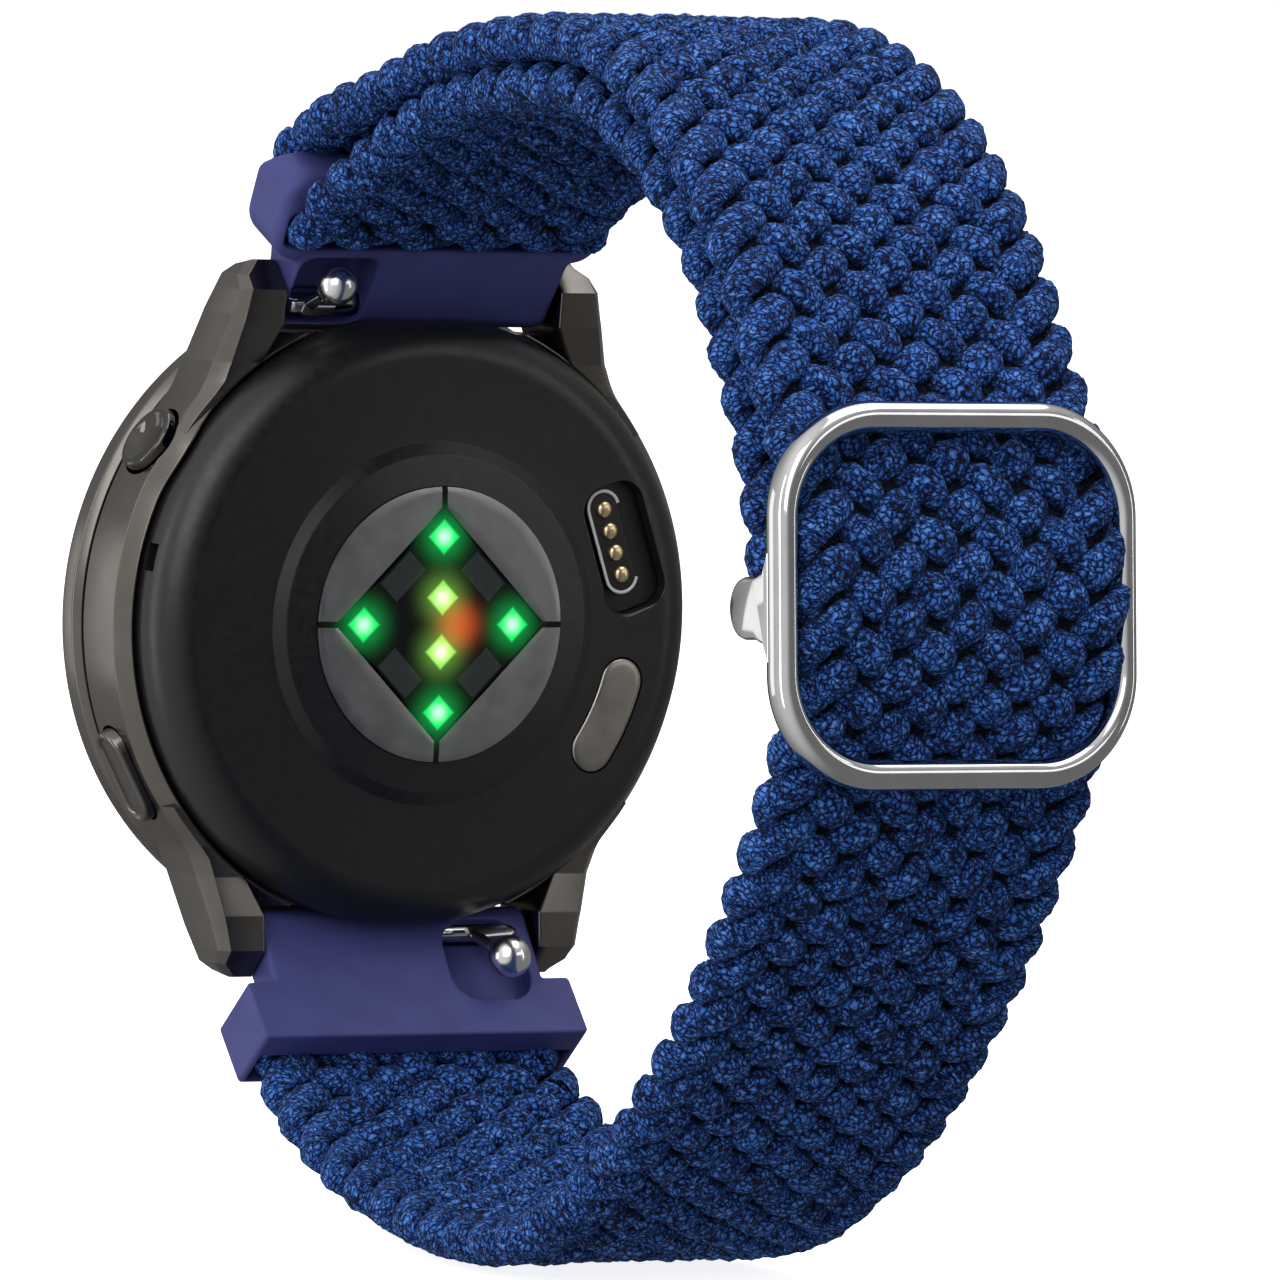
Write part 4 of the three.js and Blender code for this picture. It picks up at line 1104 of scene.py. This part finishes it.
def catmull(points, steps=24):
    """A centripetal Catmull-Rom curve through the points."""
    p = np.concatenate([2 * points[:1] - points[1:2], points, 2 * points[-1:] - points[-2:-1]])
    out = []
    for k in range(1, len(p) - 2):
        curves = p[k - 1:k + 3]
        knot = np.r_[0, np.cumsum(np.sqrt(np.linalg.norm(np.diff(curves, axis=0), axis=1)))]
        t = np.linspace(knot[1], knot[2], steps, endpoint=False)[:, None]
        # Neighbours are mixed in three rounds, each between two of the four knots.
        for spans in ([(0, 1), (1, 2), (2, 3)], [(0, 2), (1, 3)], [(1, 2)]):
            curves = [((knot[b] - t) * u + (t - knot[a]) * v) / (knot[b] - knot[a])
                      for (a, b), u, v in zip(spans, curves, curves[1:])]
        out.append(curves[0])
    out.append(points[-1:])
    return np.concatenate(out)


STRANDS = 10
COLUMN = 2.247                 # across the band from one crossing to the next
ROW = 1.65                     # along the band from one crossing to the next
LIFT = 0.66                    # how far a strand rides over or under the middle of the band
STEEP = 0.6                    # how much a strand straightens along the band at its crossings
STRAND_HALF_W = 1.21
STRAND_HALF_T = 0.86
STEPS_PER_ROW = 14
STRAND_SIDES = 24
EDGE_GAP = 0.03                # how far a turning strand stays inside the last column
YARN_PER_BAND = 1.65           # a strand's own length for each mm of band


def strand_state(p):
    """Column, lift, roll and nearness to an edge of a strand at phase p in rows; a zigzag is 2 x STRANDS."""
    n = STRANDS
    column = 0
    # The column is averaged over a row, so that the strand's corners are soft.
    for late in (-0.5, -0.25, 0, 0.25, 0.5):
        q = np.mod(p + late + n, 2 * n) - n
        q = np.minimum(np.abs(q), np.abs(n - np.abs(q)))
        away = q - STEEP / TURN * np.sin(TURN * q)
        rise = 1 - EDGE_GAP
        bend = (2.0 * rise - (1 - STEEP)) / 2
        away = np.where(q < 1, EDGE_GAP + (rise + bend) * q * q - bend * q ** 4, away)
        side = np.mod(p + late, 2 * n)
        column = column + np.where(np.abs(side - n) < n / 2, n - away, away) / 5
    p = np.mod(p, 2 * n)
    right = p < n
    lift = np.where(right, 1, -1) * np.cos(math.pi * np.where(right, p, 2 * n - p))
    # Near an edge q runs from -1 to 1 through the turn, where the strand rolls over to the other face.
    q_right = p - n
    q_left = np.where(p > n, p - 2 * n, p)
    nearness = np.zeros(len(p))
    for q, before in ((q_right, math.cos(math.pi * (n - 1))), (q_left, 1.0)):
        near = np.abs(q) < 1
        lift = np.where(near, -before * np.sin(QUARTER * q), lift)
        nearness = np.where(near, 1 - q * q, nearness)
    roll = np.zeros(len(p))
    roll = np.where(np.abs(q_right) < 1, math.pi * (1 - np.clip((q_right + 1) / 2, 0, 1)), roll)
    roll = np.where(p < n - 1, math.pi, roll)
    roll = np.where(np.abs(q_left) < 1, -math.pi * np.clip((q_left + 1) / 2, 0, 1), roll)
    return column, lift, roll, nearness


def crimp(along, girth, k):
    """How far the crimped yarn stands out of a smooth strand."""
    a, u, v = along, girth[..., 0], girth[..., 1]
    rows = np.sin(10.5 * a + 1.9 * np.sin(2.3 * u + 1.1 * k) + 1.4 * np.sin(1.7 * a + 2.0 * v))
    knots = np.sin(6.1 * u + 1.7 * np.sin(3.7 * a + k)) * np.sin(5.3 * v + 1.3 * np.sin(4.1 * a - k))
    return 0.035 * rows + 0.05 * knots


def braid_piece(name, band, ends, blend_from, blend_to, nodes):
    """A stretch of the flat braid: every strand as a closed tube that goes over and under its neighbours."""
    line, s, width, thick, sideways = band
    start, end = ends
    d = units(np.gradient(line, axis=0))
    parts, yarn, exposed = [], [], []
    step = ROW / STEPS_PER_ROW
    first, last = int(round(start / step)), int(round(end / step))
    at = np.arange(first - 2, last + 3) * step
    y, z = np.interp(at, s, line[:, 0]), np.interp(at, s, line[:, 1])
    dy, dz = np.interp(at, s, d[:, 0]), np.interp(at, s, d[:, 1])
    up = units(np.stack([0 * at, dz, -dy], -1))
    across = np.array([1.0, 0, 0])
    w_scale, t_scale, x_shift = width(at), thick(at), sideways(at)
    cu, su = squarish(STRAND_SIDES, 2 / 2.05)
    middle = np.stack([0 * at, y, z], -1)[2:-2, None]
    half_span = STRANDS / 2 * COLUMN * w_scale
    for k in range(STRANDS):
        phase = at / ROW + 2 * k
        column, lift, roll, nearness = strand_state(phase)
        x = (column - STRANDS / 2) * COLUMN * w_scale + x_shift
        centre = np.stack([x, y, z], -1) + up * (lift * LIFT * t_scale)[:, None]
        tangent = units(np.gradient(centre, axis=0))
        face = up * np.cos(roll)[:, None] + across * np.sin(roll)[:, None]
        wide = units(np.cross(tangent, face))
        out = np.cross(wide, tangent)
        over = np.maximum(np.abs(lift), nearness)
        half_w = STRAND_HALF_W * (0.84 + 0.16 * over)
        half_t = STRAND_HALF_T * t_scale * (0.84 + 0.22 * over)
        # The yarn is uneven: each strand wavers a little in girth.
        waver = 1 + 0.035 * np.sin(at * 2.9 + k * 1.7) + 0.03 * np.sin(at * 4.7 + k * 2.3)
        girth = np.broadcast_to(np.stack([cu * STRAND_HALF_W, su * STRAND_HALF_T], -1), (len(at), len(cu), 2))
        along = at[:, None] * YARN_PER_BAND
        stand = 1 + crimp(along, girth, k)
        tube = (centre[:, None] + wide[:, None] * (cu * stand * (half_w * waver)[:, None])[..., None]
                + out[:, None] * (su * stand * (half_t * waver)[:, None])[..., None])
        tube = tube[2:-2]
        # How far each point stands out of the band's middle or past its side: the braid finish paints shade
        # where this is low.
        rel = tube - middle
        height = np.abs((rel * up[2:-2, None]).sum(-1)) / t_scale[2:-2, None]
        beyond = np.maximum(np.abs(rel[..., 0] - x_shift[2:-2, None]) - half_span[2:-2, None] + 1.0, 0)
        exposed.append(np.hypot(height, beyond).ravel())
        parts.append(loft(tube))
        # Each strand reads its own stretch of the yarn's pattern.
        along = np.broadcast_to(along[2:-2, None], (*tube.shape[:2], 1))
        yarn.append(np.concatenate([along + 37.0 * k, girth[2:-2] + 11.0 * k], -1).reshape(-1, 3))
    # Inside lie the rubber threads, as one thin layer, dark with painted shade as their exposed value is
    # zero.
    flat = rounded_rect(2.0, 0.56, 0.25, 4)
    core_x = x_shift[2:-2, None] + flat[None, :, 0] * (half_span[2:-2, None] - 0.5)
    core_up = flat[None, :, 1] * t_scale[2:-2, None]
    core = middle + across * core_x[..., None] + up[2:-2, None] * core_up[..., None]
    parts.append(loft(core))
    yarn.append(parts[-1][0][:, [1, 0, 2]])
    exposed.append(np.zeros(len(yarn[-1])))
    verts, faces = merged(*parts)
    mesh = bpy.data.meshes.new(name)
    mesh.from_pydata((verts * MM).tolist(), [], faces)
    mesh.attributes.new("exposed", "FLOAT", "POINT").data.foreach_set(
        "value", np.concatenate(exposed).astype(np.float32))
    layer = mesh.attributes.new("yarn", "FLOAT_VECTOR", "POINT")
    layer.data.foreach_set("vector", np.concatenate(yarn).astype(np.float32).ravel())
    bm = bmesh.new()
    bm.from_mesh(mesh)
    bmesh.ops.recalc_face_normals(bm, faces=bm.faces)
    bm.to_mesh(mesh)
    bm.free()
    shade(mesh, 60)
    obj = placed(name, mesh)
    finish_piece(obj, None, "braided_elastic", nodes)
    start, end = [(0, y * MM, z * MM) for y, z in (blend_from, blend_to)]
    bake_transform(obj)
    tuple(start)
    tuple(end)


def make_band():
    """The whole strap in five stretches."""
    line, s, (inner_cut, outer_cut, ring_cut, lower_cut, top_turn) = band_path()
    total = s[-1]

    def width(at):
        near_top = 2.4 * np.exp(-((at - top_turn - 5.5) / 6.5) ** 4)
        near_ring = np.exp(-((at - ring_cut) / 11.0) ** 4)
        near_end = np.clip((at - (total - 7)) / 3, 0, 1)
        near_start = np.clip(1 - at / 12, 0, 1)
        return 1 - 0.04 * np.maximum.reduce([near_top, near_end, near_start]) + 0.01 * near_ring

    def thick(at):
        near_top = np.exp(-((at - top_turn) / 7.0) ** 4)
        near_start = np.clip(1 - (at - 2) / 8, 0, 1)
        return 1 - 0.22 * near_top - 0.42 * near_start

    def sideways(at):
        return 0.7 * np.exp(-((at - ring_cut) / 13.0) ** 4)

    band = line, s, width, thick, sideways
    braid_piece("braid_inner", band, (0, inner_cut),
                on_arc(34, 28), (-30, 35.8), ["strap_inner_layer", "strap_crossbar_loop"])
    braid_piece("braid_top_turn", band, (inner_cut, outer_cut),
                (-21, 35.5), (-5, 31), ["strap_adapter_loop"])
    braid_piece("braid_outer", band, (outer_cut, ring_cut),
                (-31, 38.4), on_arc(36), ["strap_outer_layer"])
    braid_piece("braid_lower", band, (ring_cut, lower_cut),
                on_arc(-19), (-44, -28.3), ["strap_in_buckle"])
    braid_piece("braid_bottom", band, (lower_cut, total - 0.2),
                (-26, -36.6), (-4, -32.4), ["strap_lower", "strap_sewn_end"])


make_case()
make_cover()
make_port()
make_sensor()
make_buttons()
make_adapters()
make_buckle()
make_band()


# ---- camera, floor and light ----
def make_camera():
    """The photograph's view: a long lens far away, a little above the middle and rolled."""
    azimuth, elevation, roll = math.radians(-29.73), math.radians(3.78), math.radians(2.02)
    target = Vector((0.36, -25.0, 0.9)) * MM
    distance = 865.6 * MM
    flat = Vector((math.sin(azimuth), -math.cos(azimuth), 0))
    back = flat * math.cos(elevation) + Vector((0, 0, math.sin(elevation)))
    right = Vector((math.cos(azimuth), math.sin(azimuth), 0))
    up = back.cross(right)
    data = bpy.data.cameras.new("camera")
    data.sensor_width = 36
    data.lens = 389.3
    data.clip_start, data.clip_end = 0.05, 20
    camera = placed("camera", data)
    m = Matrix((math.cos(roll) * right + math.sin(roll) * up, math.cos(roll) * up - math.sin(roll) * right,
                back)).transposed().to_4x4()
    m.translation = target + back * distance
    camera.matrix_world = m
    bpy.context.scene.camera = camera
    return target


def area_light(name, place, aim, size, power):
    """A softbox of the given size in metres and power in watts, turned towards a point."""
    data = bpy.data.lights.new(name, "AREA")
    data.shape = "RECTANGLE"
    data.size, data.size_y = size
    data.energy = power
    obj = placed(name, data)
    obj.location = Vector(place)
    obj.rotation_euler = (Vector(aim) - Vector(place)).to_track_quat("-Z", "Y").to_euler()


def make_world():
    """A white studio to look at, which lights the object mostly from the left and from above."""
    world = bpy.data.worlds.new("studio")
    bpy.context.scene.world = world
    world.use_nodes = True
    tree = world.node_tree
    nodes, links = tree.nodes, tree.links
    apart = nodes.new("ShaderNodeSeparateXYZ")
    links.new(nodes.new("ShaderNodeTexCoord").outputs["Generated"], apart.inputs[0])
    strength = None
    for axis, low, high, amount in (("X", 0.1, -0.95, 0.55), ("Z", 0.25, 0.95, 0.5)):
        span = nodes.new("ShaderNodeMapRange")
        span.interpolation_type = "SMOOTHSTEP"
        for key, number in (("From Min", low), ("From Max", high), ("To Min", 0.0), ("To Max", amount)):
            span.inputs[key].default_value = number
        links.new(apart.outputs[axis], span.inputs["Value"])
        total = nodes.new("ShaderNodeMath")
        links.new(span.outputs["Result"], total.inputs[0])
        total.inputs[1].default_value = 0.20
        if strength:
            links.new(strength, total.inputs[1])
        strength = total.outputs[0]
    light, white = nodes["Background"], nodes.new("ShaderNodeBackground")
    links.new(strength, light.inputs["Strength"])
    white.inputs["Strength"].default_value = 1.0
    for background in (light, white):
        background.inputs["Color"].default_value = (1, 1, 1, 1)
    pick = nodes.new("ShaderNodeMixShader")
    links.new(nodes.new("ShaderNodeLightPath").outputs["Is Camera Ray"], pick.inputs["Fac"])
    links.new(light.outputs[0], pick.inputs[1])
    links.new(white.outputs[0], pick.inputs[2])
    links.new(pick.outputs[0], nodes["World Output"].inputs["Surface"])


# Place, size and power of each light.
LIGHTS = {
    "key": ((-0.60, -0.60, 0.50), (0.60, 0.80), 3.2),
    "top_box": ((0.20, -0.05, 0.75), (0.90, 0.55), 3.0),
    "back_left": ((-0.42, 0.62, -0.02), (0.20, 0.34), 0.19),
    "front_card": ((0.36, -0.66, 0.26), (0.42, 0.16), 0.30),
    "left_strip": ((-0.75, 0.10, 0.05), (0.12, 0.80), 1.1),
    "right_strip": ((0.55, -0.45, 0.15), (0.05, 0.50), 0.25),
}


def make_floor():
    """A pale floor just under the object, bright enough to meet the white behind it."""
    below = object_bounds()[0].z - 0.0003
    half = 3.0
    mesh = bpy.data.meshes.new("floor")
    mesh.from_pydata([(x * half, y * half, below) for x, y in ((-1, -1), (1, -1), (1, 1), (-1, 1))], [],
                     [[0, 1, 2, 3]])
    floor = placed("floor", mesh)
    f = Finish("floor", (0.88, 0.88, 0.88), 0.9)
    f.mottle(60, 0.01)
    mesh.materials.append(f.mat)
    f.bsdf.inputs["Emission Color"].default_value = (1, 1, 1, 1)
    f.bsdf.inputs["Emission Strength"].default_value = 0.85
    floor.visible_glossy = floor.visible_diffuse = floor.visible_shadow = False


def make_stage():
    """Camera, world, floor and lights."""
    target = make_camera()
    make_world()
    make_floor()
    for name, (place, size, power) in LIGHTS.items():
        area_light(name, place, target, size, power)
    settings = bpy.context.scene.view_settings
    settings.view_transform = "Standard"
    settings.look = "None"


make_stage()
